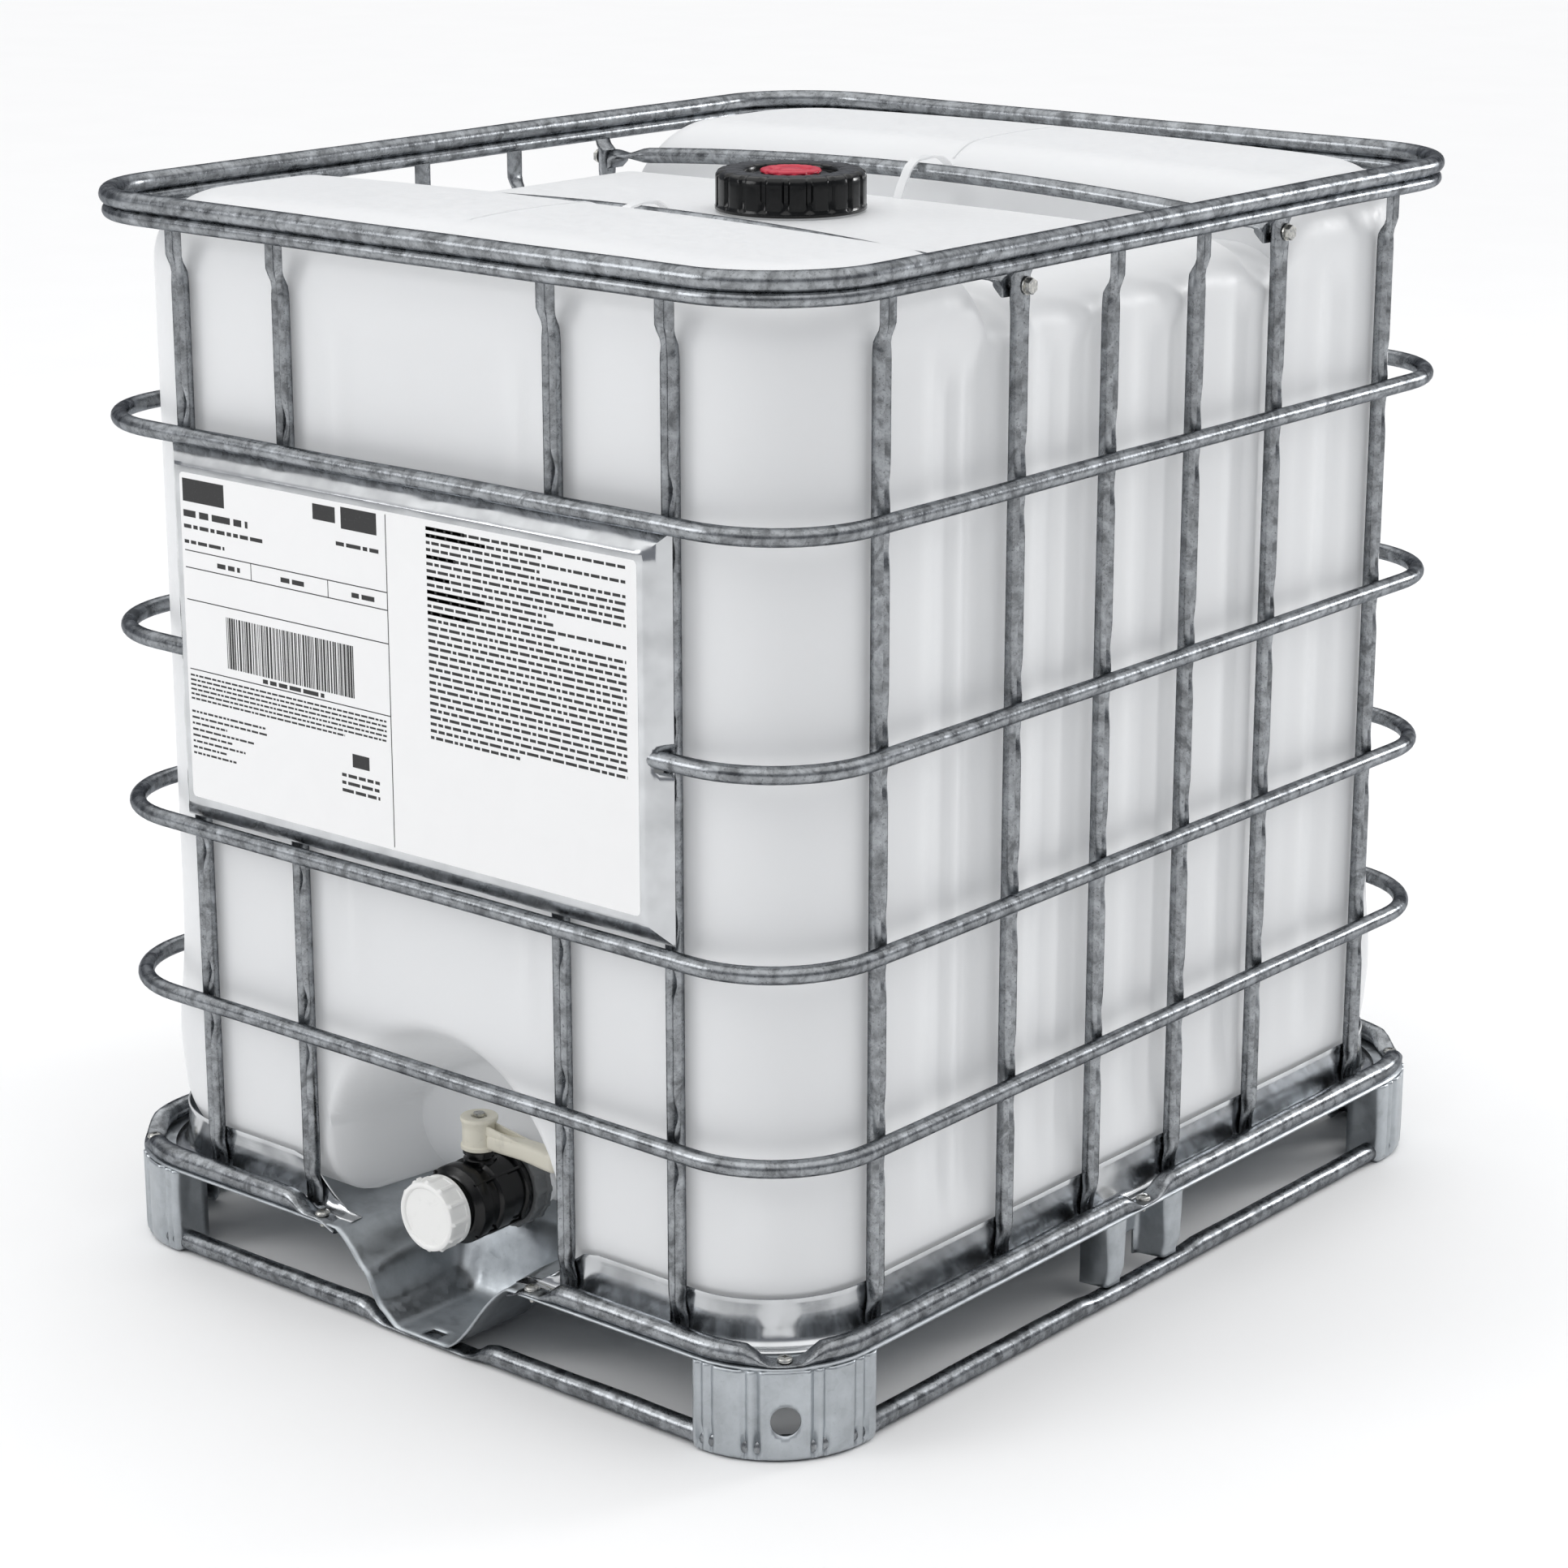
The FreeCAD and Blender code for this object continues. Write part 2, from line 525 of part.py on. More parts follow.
def middle_foot(label, half, turn):
    """A strap foot with two legs and a web between them, under the middle of one pallet side."""
    body = new_body(label)
    plan = sketch_on(body, "plan", level="skid_level + pallet_tube_radius")
    face, web, wall = f"({half} - leg_face_depth)", f"({half} - leg_web_depth)", "foot_wall"
    outline(plan, [
        (web, "-leg_outer"), (face, "-leg_outer"), (face, "-leg_inner"), (f"{web} + {wall}", "-leg_inner"),
        (f"{web} + {wall}", "leg_inner"), (face, "leg_inner"), (face, "leg_outer"), (web, "leg_outer"),
        (web, f"leg_outer - {wall}"), (f"{face} - {wall}", f"leg_outer - {wall}"),
        (f"{face} - {wall}", f"leg_inner + {wall}"), (web, f"leg_inner + {wall}"),
        (web, f"-leg_inner - {wall}"), (f"{face} - {wall}", f"-leg_inner - {wall}"),
        (f"{face} - {wall}", f"-leg_outer + {wall}"), (web, f"-leg_outer + {wall}")])
    pad(body, plan, "deck_top - sheet - skid_level - pallet_tube_radius")
    put(body, turn=turn)


# ---------------------------------------------------------------- label plate
def label_plate():
    """A shallow pressed pan in front of the cage with sloping flanges and a tunnel for the second ring."""
    body = new_body("label_plate")

    def section(name, level, edge):
        sketch = sketch_on(body, name, "XZ_Plane", level=level)
        rectangle(sketch, f"-plate_half - {edge}", f"plate_low - {edge}",
                  f"plate_half + {edge}", f"plate_high + {edge}")
        return sketch

    def loft(kind, name, back, front):
        feature = body.newObject(f"PartDesign::{kind}", f"{body.Name}_{name}")
        feature.Profile = back
        feature.Sections = [front]

    loft("AdditiveLoft", "pressing", section("back", "plate_back", "plate_flange"),
         section("front", "plate_face", "0"))
    loft("SubtractiveLoft", "hollow", section("back_inside", "plate_back", "plate_flange - plate_sheet"),
         section("front_inside", "plate_face - plate_sheet", "-plate_sheet"))
    tunnel = sketch_on(body, "tunnel", "YZ_Plane")
    rectangle(tunnel, "-plate_face + plate_sheet", "ring_level_two - tunnel_half", "-plate_back + 1",
              "ring_level_two + tunnel_half")
    pocket(body, tunnel, "plate_half * 4", both_ways=True)


def label_sheet():
    paper = keep(doc.addObject("Part::Box", "label_sheet"), "label_sheet")
    drive(paper, "Length", "(plate_half - paper_margin) * 2")
    drive(paper, "Width", "paper")
    drive(paper, "Height", "plate_high - plate_low - paper_margin * 2")
    put(paper, "-plate_half + paper_margin", "-plate_face - paper", "plate_low + paper_margin")


# ---------------------------------------------------------------- tank
def tank_form(name, inset, low, neck_radius, neck_top, spigot_radius, spigot_end):
    """The blown shape, or the space inside it when it is drawn smaller by the wall."""
    body = doc.addObject("PartDesign::Body", name)
    block = sketch_on(body, "block", level=low)
    rounded_loop(block, f"tank_half_x - {inset}", f"tank_half_y - {inset}", f"tank_corner - {inset}")
    pad(body, block, f"tank_top - {inset} - ({low})")
    low_level, top_level = size(low), size(f"tank_top - {inset}")
    fillet(body, f"tank_low_round - {inset}", lambda middle, edge: abs(middle.z - low_level) < 0.1)
    fillet(body, f"tank_top_round - {inset}", lambda middle, edge: abs(middle.z - top_level) < 0.1)
    band = sketch_on(body, "band", level=f"band_level - {inset}")
    rectangle(band, "-tank_half_x - 10", f"-channel_half - {inset}",
              "tank_half_x + 10", f"channel_half + {inset}")
    pocket(body, band, "tank_top", backwards=True)
    channels = sketch_on(body, "channels", level=f"channel_level - {inset}")
    for sign in ("", "-"):
        near, far = f"{sign}(band_half - {inset})", f"{sign}(channel_half + {inset})"
        rectangle(channels, "-tank_half_x - 10", near, "tank_half_x + 10", far)
    pocket(body, channels, "tank_top", backwards=True)
    neck = sketch_on(body, "neck", level=f"band_level - {inset} - 1")
    circle(neck, "0", "0", neck_radius)
    pad(body, neck, f"{neck_top} - band_level + {inset} + 1")
    half, back = f"(recess_half + {inset})", f"recess_back - {inset}"
    recess = sketch_on(body, "recess", "XZ_Plane", level=back)
    rectangle(recess, f"-{half}", "0", half, "recess_spring")
    pocket(body, recess, "tank_half_y", backwards=True)
    arch = sketch_on(body, "arch", "XZ_Plane", level=back)
    circle(arch, "0", "recess_spring", half)
    pocket(body, arch, "tank_half_y", backwards=True)
    spigot = sketch_on(body, "spigot", "XZ_Plane", level="recess_back - tank_wall - 1")
    circle(spigot, "0", "valve_level", spigot_radius)
    pad(body, spigot, f"{spigot_end} - recess_back + tank_wall + 1")
    return body


def tank():
    outer = tank_form("tank_outside", "0", "deck_top", "neck_radius", "neck_top",
                      "spigot_radius", "spigot_end")
    inner = tank_form("tank_inside", "tank_wall", "deck_top + tank_wall", "neck_bore", "neck_top + 5",
                      "gasket_bore", "spigot_end + 5")
    shell = keep(doc.addObject("Part::Cut", "tank"), "tank")
    shell.Base, shell.Tool = outer, inner


# ---------------------------------------------------------------- lid
def turned(label, points):
    """A round piece about Z from its half section, given as (radius, height) formulas."""
    body = new_body(label)
    section = sketch_on(body, "section", "XZ_Plane")
    outline(section, points)
    revolve(body, section)
    return body


def lid_pieces():
    turned("lid", [
        ("vent_bore", "lid_under"), ("lid_skirt_bore", "lid_under"), ("lid_skirt_bore", "lid_low"),
        ("lid_radius", "lid_low"), ("lid_radius", "lid_top - 4"), ("lid_radius - 4", "lid_top"),
        ("lid_dish_radius", "lid_top"), ("lid_dish_radius", "lid_floor"), ("vent_bore", "lid_floor")])
    turned("lid_gasket", [("gasket_inner", "neck_top"), ("gasket_outer", "neck_top"),
                          ("gasket_outer", "lid_under"), ("gasket_inner", "lid_under")])
    turned("vent_seal", [("vent_bore + 0.5", "lid_floor"), ("vent_head - 1", "lid_floor"),
                         ("vent_head - 1", "vent_seat"), ("vent_bore + 0.5", "vent_seat")])
    turned("vent_plug", [
        ("vent_shank - 5", "vent_low"), ("vent_shank", "vent_low"), ("vent_shank", "vent_seat"),
        ("vent_head", "vent_seat"), ("vent_head", "vent_top"), ("vent_head - 8", "vent_top"),
        ("vent_head - 12", "vent_seat"), ("0", "vent_seat"), ("0", "vent_low + 4"),
        ("vent_shank - 5", "vent_low + 4")])


# ---------------------------------------------------------------- outlet valve
def barrel(body, name, back, front, radius):
    """A round step along -Y, on the valve's axis."""
    sketch = sketch_on(body, name, "XZ_Plane", level=back)
    circle(sketch, "0", "valve_level", radius)
    return pad(body, sketch, f"{front} - ({back})")


def bore(body, name, back, front, radius):
    sketch = sketch_on(body, name, "XZ_Plane", level=back)
    circle(sketch, "0", "valve_level", radius)
    return pocket(body, sketch, f"{front} - ({back})", backwards=True)


def column(body, name, low, high, radius, cut=False):
    """A round step, or a hole, along Z on the stem's axis."""
    sketch = sketch_on(body, name, level=low)
    circle(sketch, "0", "-stem_y", radius)
    if cut:
        return pocket(body, sketch, f"{high} - ({low})", backwards=True)
    return pad(body, sketch, f"{high} - ({low})")


def valve_pieces():
    union = new_body("union_nut")
    barrel(union, "ring", "union_back", "union_front", "union_radius")
    bore(union, "hole", "union_back - 1", "union_front + 1", "nut_bore")

    gasket = new_body("valve_gasket")
    barrel(gasket, "ring", "spigot_end", "valve_back", "spigot_radius")
    bore(gasket, "hole", "spigot_end - 1", "valve_back + 1", "gasket_bore")

    housing = new_body("valve_body")
    barrel(housing, "flange", "valve_back", "body_back", "spigot_radius")
    barrel(housing, "barrel", "body_back", "body_front", "body_radius")
    barrel(housing, "outlet", "body_front", "outlet_end", "outlet_radius")
    column(housing, "boss", "valve_level", "boss_top", "boss_radius")
    bore(housing, "waterway", "valve_back - 1", "outlet_end + 1", "valve_bore")
    column(housing, "stem_hole", "valve_level", "boss_top + 1", "stem_radius + fit_play", cut=True)
    column(housing, "foot_hole", "stem_low - 1", "valve_level", "spindle + fit_play", cut=True)

    disc = new_body("valve_disc")
    barrel(disc, "plate", "stem_y - disc_thick / 2", "stem_y + disc_thick / 2", "disc_radius")
    column(disc, "hub", "valve_level - disc_hub_half", "valve_level + disc_hub_half", "disc_hub")
    column(disc, "hole", "valve_level - disc_radius - 1", "valve_level + disc_radius + 1", "spindle",
           cut=True)

    stem = new_body("valve_stem")
    column(stem, "spindle", "stem_low", "stem_top", "spindle")
    neck_low = "valve_level + disc_radius + 1"
    column(stem, "low_neck", neck_low, "seal_groove_low", "stem_radius")
    column(stem, "groove", "seal_groove_low", "seal_groove_low + seal_thick", "groove_radius")
    column(stem, "high_neck", "seal_groove_low + seal_thick", "hub_low", "stem_radius")
    column(stem, "screw_hole", "stem_top - 10", "stem_top + 1", "lever_screw_radius", cut=True)

    ring = new_body("stem_seal")
    column(ring, "ring", "seal_groove_low", "seal_groove_low + seal_thick", "stem_radius")
    column(ring, "hole", "seal_groove_low - 1", "seal_groove_low + seal_thick + 1", "groove_radius", cut=True)

    lever = new_body("valve_lever")
    column(lever, "hub", "hub_low", "hub_top", "hub_radius")
    arm = sketch_on(lever, "arm", level="arm_low")
    rectangle(arm, "0", "-stem_y - arm_half", "arm_length", "-stem_y + arm_half")
    pad(lever, arm, "arm_top - arm_low")
    fillet(lever, "arm_half - 1", lambda middle, edge: abs(middle.x - size("arm_length")) < 0.1
           and abs(middle.z - size("(arm_low + arm_top) / 2")) < 0.1)
    column(lever, "socket", "hub_low - 1", "stem_top", "spindle", cut=True)
    column(lever, "screw_hole", "hub_low - 1", "hub_top + 1", "lever_screw_radius", cut=True)

    screw = new_body("lever_screw")
    column(screw, "shank", "stem_top - 9", "hub_top", "lever_screw_radius")
    column(screw, "head", "hub_top", "hub_top + seal_thick", "spindle + 1")

    cap = new_body("dust_cap")
    barrel(cap, "cup", "cap_back", "cap_face", "cap_radius")
    bore(cap, "hollow", "cap_back - 1", "outlet_end + seal_thick", "cap_bore")

    seal = new_body("outlet_seal")
    barrel(seal, "ring", "outlet_end", "outlet_end + seal_thick", "outlet_radius")
    bore(seal, "hole", "outlet_end - 1", "outlet_end + seal_thick + 1", "valve_bore")


# ---------------------------------------------------------------- the whole container
def build():
    skid_ring()
    deck_pan()
    pallet_top_ring()
    for end, y_sign in (("front", "-"), ("rear", "")):
        for side, x_sign in (("left", "-"), ("right", "")):
            corner_foot(f"corner_foot_{end}_{side}", x_sign, y_sign)
    middle_foot("side_foot_right", "pallet_half_x", 0)
    middle_foot("side_foot_left", "pallet_half_x", 180)
    middle_foot("rear_foot", "pallet_half_y", 90)
    pallet_screws()
    for name in ("one", "two", "three", "four"):
        cage_ring(f"cage_ring_{name}", f"ring_level_{name}")
    top_rail()
    all_uprights()
    cross_bar("cross_bar_front", "-side_bolted_y")
    cross_bar("cross_bar_rear", "side_bolted_y")
    bar_fasteners()
    label_plate()
    label_sheet()
    tank()
    lid_pieces()
    valve_pieces()


def check():
    """Stops if any object failed or any sub-part is empty or unsound."""
    for thing in doc.Objects:
        if {"Invalid", "Error"} & set(thing.State):
            raise RuntimeError(f"{thing.Label} failed: {thing.State}")
    for piece in PIECES:
        if piece.Shape.isNull() or not piece.Shape.isValid() or piece.Shape.Volume <= 0:
            raise RuntimeError(f"{piece.Label} has no sound shape")


def write():
    os.makedirs("parts", exist_ok=True)
    for piece in PIECES:
        piece.Shape.exportStep(f"parts/{piece.Label}.step")


build()
doc.recompute()
check()
write()
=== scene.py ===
"""Intermediate bulk container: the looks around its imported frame, laid out as a Blender add-on.

Every piece is drawn in millimetres and scaled to metres as it is finished, in the frame's own axes: +Z up,
outlet valve towards -Y, long sides towards +X and -X.
"""
import math
import random

import bmesh
import bpy
from mathutils import Matrix, Vector, noise


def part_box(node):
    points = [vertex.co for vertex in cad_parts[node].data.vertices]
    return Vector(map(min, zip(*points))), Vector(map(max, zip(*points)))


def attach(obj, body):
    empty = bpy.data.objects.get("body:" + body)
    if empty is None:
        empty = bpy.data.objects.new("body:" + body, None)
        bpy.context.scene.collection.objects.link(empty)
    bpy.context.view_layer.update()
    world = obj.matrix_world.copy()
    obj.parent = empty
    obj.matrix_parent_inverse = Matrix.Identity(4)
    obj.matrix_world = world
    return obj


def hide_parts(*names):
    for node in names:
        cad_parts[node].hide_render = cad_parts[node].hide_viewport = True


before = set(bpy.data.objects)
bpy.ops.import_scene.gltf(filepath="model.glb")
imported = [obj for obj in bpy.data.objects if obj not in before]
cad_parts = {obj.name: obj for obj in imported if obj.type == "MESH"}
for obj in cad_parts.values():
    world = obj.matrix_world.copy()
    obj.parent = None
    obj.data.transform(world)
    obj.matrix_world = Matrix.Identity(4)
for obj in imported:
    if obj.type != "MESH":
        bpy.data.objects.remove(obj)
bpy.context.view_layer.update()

bl_info = {
    "name": "Intermediate bulk container",
    "version": (1, 0, 0),
    "blender": (4, 5, 0),
    "location": "3D View > Sidebar > Bulk container",
    "description": "Blown tank, tube cage, steel pallet, lid, outlet valve and label of a bulk container",
    "category": "Object",
}

MM = 0.001
QUARTER = math.pi / 2
UP = (0, 0, 1)
RINGS = ("one", "two", "three", "four")


# ---------------------------------------------------------------- numbers from the frame
def low_mm(node):
    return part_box(node)[0] / MM


def high_mm(node):
    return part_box(node)[1] / MM


def middle_mm(node):
    return (low_mm(node) + high_mm(node)) / 2


RING_LEVELS = [middle_mm(f"cage_ring_{name}").z for name in RINGS]
VALVE_LEVEL = middle_mm("union_nut").z


# ---------------------------------------------------------------- user properties
def linear(code):
    """An sRGB hex colour as linear red, green and blue."""
    shares = [int(code[place:place + 2], 16) / 255 for place in (1, 3, 5)]
    return tuple(share / 12.92 if share <= 0.04045 else ((share + 0.055) / 1.055) ** 2.4 for share in shares)


def solid(code):
    """The same with full opacity, as a colour socket takes it."""
    return (*linear(code), 1)


def length_property(name, description, default):
    return bpy.props.FloatProperty(name=name, description=description, default=default, unit="LENGTH",
                                   min=0.0)


def colour_property(name, description, code):
    return bpy.props.FloatVectorProperty(name=name, description=description, default=linear(code),
                                         subtype="COLOR", size=3, min=0.0, max=1.0)


class BulkContainerSizes(bpy.types.PropertyGroup):
    """Sizes of the looks that the frame leaves open."""
    pillow_edge: length_property("Pillow edge", "Height of the tank pillows where they meet the rail", 1.147)
    pillow_crown: length_property("Pillow crown", "How far a pillow's middle stands above its edges", 0.0105)
    top_round: length_property("Top round", "Radius of the tank's upper edges", 0.068)
    wall_wave: length_property("Wall wave", "Depth of the upright waves in the tank's long sides", 0.008)
    groove: length_property("Groove", "Depth of the rolled groove along each upright", 0.005)
    dent: length_property("Dent", "Depth of the pressed dents beside each ring crossing", 0.006)


class BulkContainerColours(bpy.types.PropertyGroup):
    """Colours of the container's materials."""
    tank: colour_property("Tank", "Natural blown polyethylene", "#d6d7d8")
    lid: colour_property("Lid and valve", "Black moulded plastic", "#08090a")
    vent: colour_property("Vent plug", "Red moulded plastic", "#c2203c")
    lever: colour_property("Lever", "Cream moulded nylon", "#d9d5c6")
    cap: colour_property("Dust cap", "White moulded plastic", "#eeeeec")
    union: colour_property("Union nut", "Grey moulded plastic", "#6f7172")
    tube: colour_property("Tube", "Galvanised tube", "#909396")
    sheet: colour_property("Sheet", "Galvanised sheet", "#b6bbbf")
    plate: colour_property("Label plate", "Bright rolled sheet", "#c8cacc")
    paper: colour_property("Label", "Coated label paper", "#f1f1f1")


def sizes():
    return bpy.context.scene.bulk_container_sizes


def colours():
    return bpy.context.scene.bulk_container_colours


# ---------------------------------------------------------------- materials
def add_node(tree, kind, settings=(), links=()):
    """Adds a node, sets its fields, and sets or links its inputs."""
    node = tree.nodes.new(kind)
    for field, value in dict(settings).items():
        setattr(node, field, value)
    for socket, source in dict(links).items():
        if isinstance(source, bpy.types.NodeSocket):
            tree.links.new(source, node.inputs[socket])
        else:
            node.inputs[socket].default_value = source
    return node


def start_material(name):
    """A new material with its tree, its shader and the object's own coordinates."""
    material = bpy.data.materials.new(name)
    material.use_nodes = True
    tree = material.node_tree
    place = add_node(tree, "ShaderNodeTexCoord").outputs["Object"]
    return material, tree, tree.nodes["Principled BSDF"], place


def per_mm(width):
    """The scale of a pattern whose grains are so many millimetres wide."""
    return 1 / (width * MM)


def grain(tree, place, width, detail=2.0, rough=0.5, stretch=None, distortion=0.0):
    """Noise with grains of a real width, drawn out along an axis if asked."""
    if stretch:
        place = add_node(tree, "ShaderNodeMapping", {}, {"Vector": place, "Scale": stretch}).outputs[0]
    return add_node(tree, "ShaderNodeTexNoise", {}, {
        "Vector": place, "Scale": per_mm(width), "Detail": detail, "Roughness": rough,
        "Distortion": distortion}).outputs["Fac"]


def spread(tree, value, low, high, out_low=0.0, out_high=1.0):
    """Maps a pattern's own range to the range that a socket needs."""
    return add_node(tree, "ShaderNodeMapRange", {}, {
        "Value": value, "From Min": low, "From Max": high, "To Min": out_low, "To Max": out_high}).outputs[0]


def shaded(colour, share):
    return (*(min(1.0, channel * share) for channel in colour), 1)


def two_tone(tree, pattern, first, second):
    return add_node(tree, "ShaderNodeMix", {"data_type": "RGBA"},
                    {"Factor": pattern, 6: first, 7: second}).outputs[2]


def bumped(tree, shader, *layers):
    """Stacks bump layers, each a pattern with its height in millimetres."""
    normal = None
    for pattern, height in layers:
        links = {"Height": pattern, "Distance": height * MM, "Strength": 1.0}
        if normal:
            links["Normal"] = normal
        normal = add_node(tree, "ShaderNodeBump", {}, links).outputs[0]
    tree.links.new(normal, shader.inputs["Normal"])


def feed(tree, shader, **sources):
    """Links patterns to the shader's sockets, named with underscores for spaces."""
    for name, source in sources.items():
        tree.links.new(source, shader.inputs[name.replace("_", " ")])


def fix(shader, **values):
    """Sets constants straight on the shader's sockets."""
    for name, value in values.items():
        shader.inputs[name.replace("_", " ")].default_value = value


def blown_polyethylene():
    """Natural high-density polyethylene, blown: milky, waxy sheen, slow waves of uneven wall.

    The faint glow stands for the light that comes through the empty tank from its other walls.
    """
    material, tree, shader, place = start_material("blown_polyethylene")
    base = tuple(colours().tank)
    cloud = grain(tree, place, 260, 3.0)
    drawn = grain(tree, place, 22, stretch=(1, 1, 0.12))
    tone = spread(tree, cloud, 0.3, 0.7)
    feed(tree, shader, Base_Color=two_tone(tree, tone, shaded(base, 0.955), shaded(base, 1.0)),
         Roughness=spread(tree, grain(tree, place, 9, 4.0), 0.3, 0.7, 0.36, 0.5))
    fix(shader, IOR=1.54, Subsurface_Weight=0.35, Subsurface_Radius=(1.0, 0.95, 0.9), Subsurface_Scale=0.03,
        Emission_Color=(0.93, 0.95, 0.97, 1), Emission_Strength=0.13)
    bumped(tree, shader, (cloud, 1.2), (drawn, 0.12), (grain(tree, place, 2.2), 0.02))
    return material


def moulded_plastic(name, colour, roughness, scuff_tone=1.35, gloss=0.5):
    """Injection-moulded plastic: even colour, eggshell texture, scuffs in random patches, paler or darker by each
    plastic's scuff tone.
    """
    material, tree, shader, place = start_material(name)
    base = tuple(getattr(colours(), colour))
    marks = spread(tree, grain(tree, place, 14, 6.0, 0.7, distortion=0.6), 0.56, 0.72)
    faded = (*(min(1.0, channel * scuff_tone + 0.006) for channel in base), 1)
    feed(tree, shader, Base_Color=two_tone(tree, marks, shaded(base, 1.0), faded),
         Roughness=spread(tree, grain(tree, place, 5, 4.0), 0.3, 0.7, roughness, roughness + 0.10))
    fix(shader, IOR=1.49, Specular_IOR_Level=gloss)
    bumped(tree, shader, (grain(tree, place, 1.2), 0.03), (grain(tree, place, 18), 0.12))
    return material


def seal_rubber():
    """Black EPDM rubber: dull, with a bloom of fine dust."""
    material, tree, shader, place = start_material("epdm_rubber")
    dust = spread(tree, grain(tree, place, 3, 5.0), 0.45, 0.7)
    feed(tree, shader, Base_Color=two_tone(tree, dust, solid("#17181a"), solid("#2c2d2f")))
    fix(shader, Roughness=0.75, IOR=1.52)
    bumped(tree, shader, (grain(tree, place, 0.9), 0.03))
    return material


def galvanised_tube():
    """Welded tube with a drawn zinc coat: mid grey, cloudy patches, fine scratches and duller worn spots."""
    material, tree, shader, place = start_material("welded_galvanised_tube")
    base = tuple(colours().tube)
    cloud = grain(tree, place, 16, 5.0, 0.62, distortion=0.5)
    speck = grain(tree, place, 2.4, 3.0, 0.6)
    worn = spread(tree, grain(tree, place, 34, 6.0, 0.7, distortion=1.0), 0.54, 0.66)
    tone = two_tone(tree, spread(tree, cloud, 0.32, 0.68), shaded(base, 0.5), shaded(base, 1.45))
    tone = two_tone(tree, spread(tree, speck, 0.58, 0.70, 0.0, 0.8), tone, shaded(base, 0.34))
    tone = two_tone(tree, spread(tree, worn, 0.0, 1.0, 0.0, 0.75), tone, shaded(base, 0.42))
    rough = add_node(tree, "ShaderNodeMath", {"operation": "ADD"}, {
        0: spread(tree, cloud, 0.3, 0.7, 0.20, 0.36), 1: spread(tree, worn, 0.0, 1.0, 0.0, 0.16)}).outputs[0]
    feed(tree, shader, Base_Color=tone, Roughness=rough)
    fix(shader, Metallic=1.0, Specular_Tint=(0.42, 0.43, 0.45, 1))
    bumped(tree, shader, (grain(tree, place, 13, 3.0), 0.4), (speck, 0.05))
    return material


def galvanised_sheet():
    """Hot-dip galvanised sheet: frosty zinc flowers, each with its own tone and gloss, and press marks."""
    material, tree, shader, place = start_material("hot_dip_galvanised_sheet")
    base = tuple(colours().sheet)
    flower = add_node(tree, "ShaderNodeTexVoronoi", {"feature": "F1"}, {
        "Vector": place, "Scale": per_mm(9), "Randomness": 1.0})
    shade = add_node(tree, "ShaderNodeSeparateColor", {}, {0: flower.outputs["Color"]}).outputs[0]
    frost = grain(tree, place, 30, 5.0, 0.6)
    tone = two_tone(tree, spread(tree, frost, 0.3, 0.7), shaded(base, 0.76), shaded(base, 1.06))
    tone = two_tone(tree, spread(tree, shade, 0.0, 1.0, 0.0, 0.35), tone, shaded(base, 1.2))
    grime = spread(tree, grain(tree, place, 5, 6.0, 0.7), 0.6, 0.74, 0.0, 0.35)
    tone = two_tone(tree, grime, tone, shaded(base, 0.42))
    feed(tree, shader, Base_Color=tone, Roughness=spread(tree, shade, 0.0, 1.0, 0.30, 0.46))
    fix(shader, Metallic=0.92)
    bumped(tree, shader, (grain(tree, place, 38), 0.9), (grain(tree, place, 3, 3.0), 0.05))
    return material


def bright_sheet():
    """Bright rolled sheet for the label plate: near-mirror zinc with handling dents and rolling lines."""
    material, tree, shader, place = start_material("bright_rolled_sheet")
    base = tuple(colours().plate)
    lines = grain(tree, place, 1.6, 3.0, stretch=(0.03, 1, 1))
    dull = spread(tree, grain(tree, place, 46, 3.0, 0.5), 0.40, 0.72)
    tone = two_tone(tree, dull, shaded(base, 1.0), shaded(base, 0.8))
    feed(tree, shader, Base_Color=tone, Roughness=spread(tree, dull, 0.0, 1.0, 0.16, 0.27))
    fix(shader, Metallic=1.0)
    bumped(tree, shader, (grain(tree, place, 60), 0.8), (lines, 0.015))
    return material


def zinc_plate():
    """Bright zinc-plated fasteners: pale, slightly yellowed, with thread-oil smears."""
    material, tree, shader, place = start_material("zinc_plated_steel")
    smear = spread(tree, grain(tree, place, 4, 4.0), 0.35, 0.65)
    feed(tree, shader, Base_Color=two_tone(tree, smear, solid("#c9c8c2"), solid("#8f9090")),
         Roughness=spread(tree, smear, 0.0, 1.0, 0.22, 0.4))
    fix(shader, Metallic=1.0)
    bumped(tree, shader, (grain(tree, place, 1.5), 0.03))
    return material


def label_paper():
    """Coated label paper stuck on sheet: flat white with faint wrinkles and trapped air."""
    material, tree, shader, place = start_material("coated_label_paper")
    base = tuple(colours().paper)
    wrinkle = grain(tree, place, 70, 3.0, 0.55, distortion=1.4)
    feed(tree, shader, Base_Color=two_tone(tree, wrinkle, shaded(base, 0.97), shaded(base, 1.0)),
         Roughness=spread(tree, grain(tree, place, 20), 0.3, 0.7, 0.42, 0.55))
    fix(shader, IOR=1.5)
    bumped(tree, shader, (wrinkle, 0.5), (grain(tree, place, 0.8), 0.01))
    return material


def printing_ink():
    """Black thermal print: dense, slightly uneven where the head ran dry."""
    material, tree, shader, place = start_material("thermal_print")
    patchy = spread(tree, grain(tree, place, 2.5, 4.0), 0.6, 0.75)
    feed(tree, shader, Base_Color=two_tone(tree, patchy, solid("#1a1a1b"), solid("#3c3c3d")))
    fix(shader, Roughness=0.45, IOR=1.5)
    return material


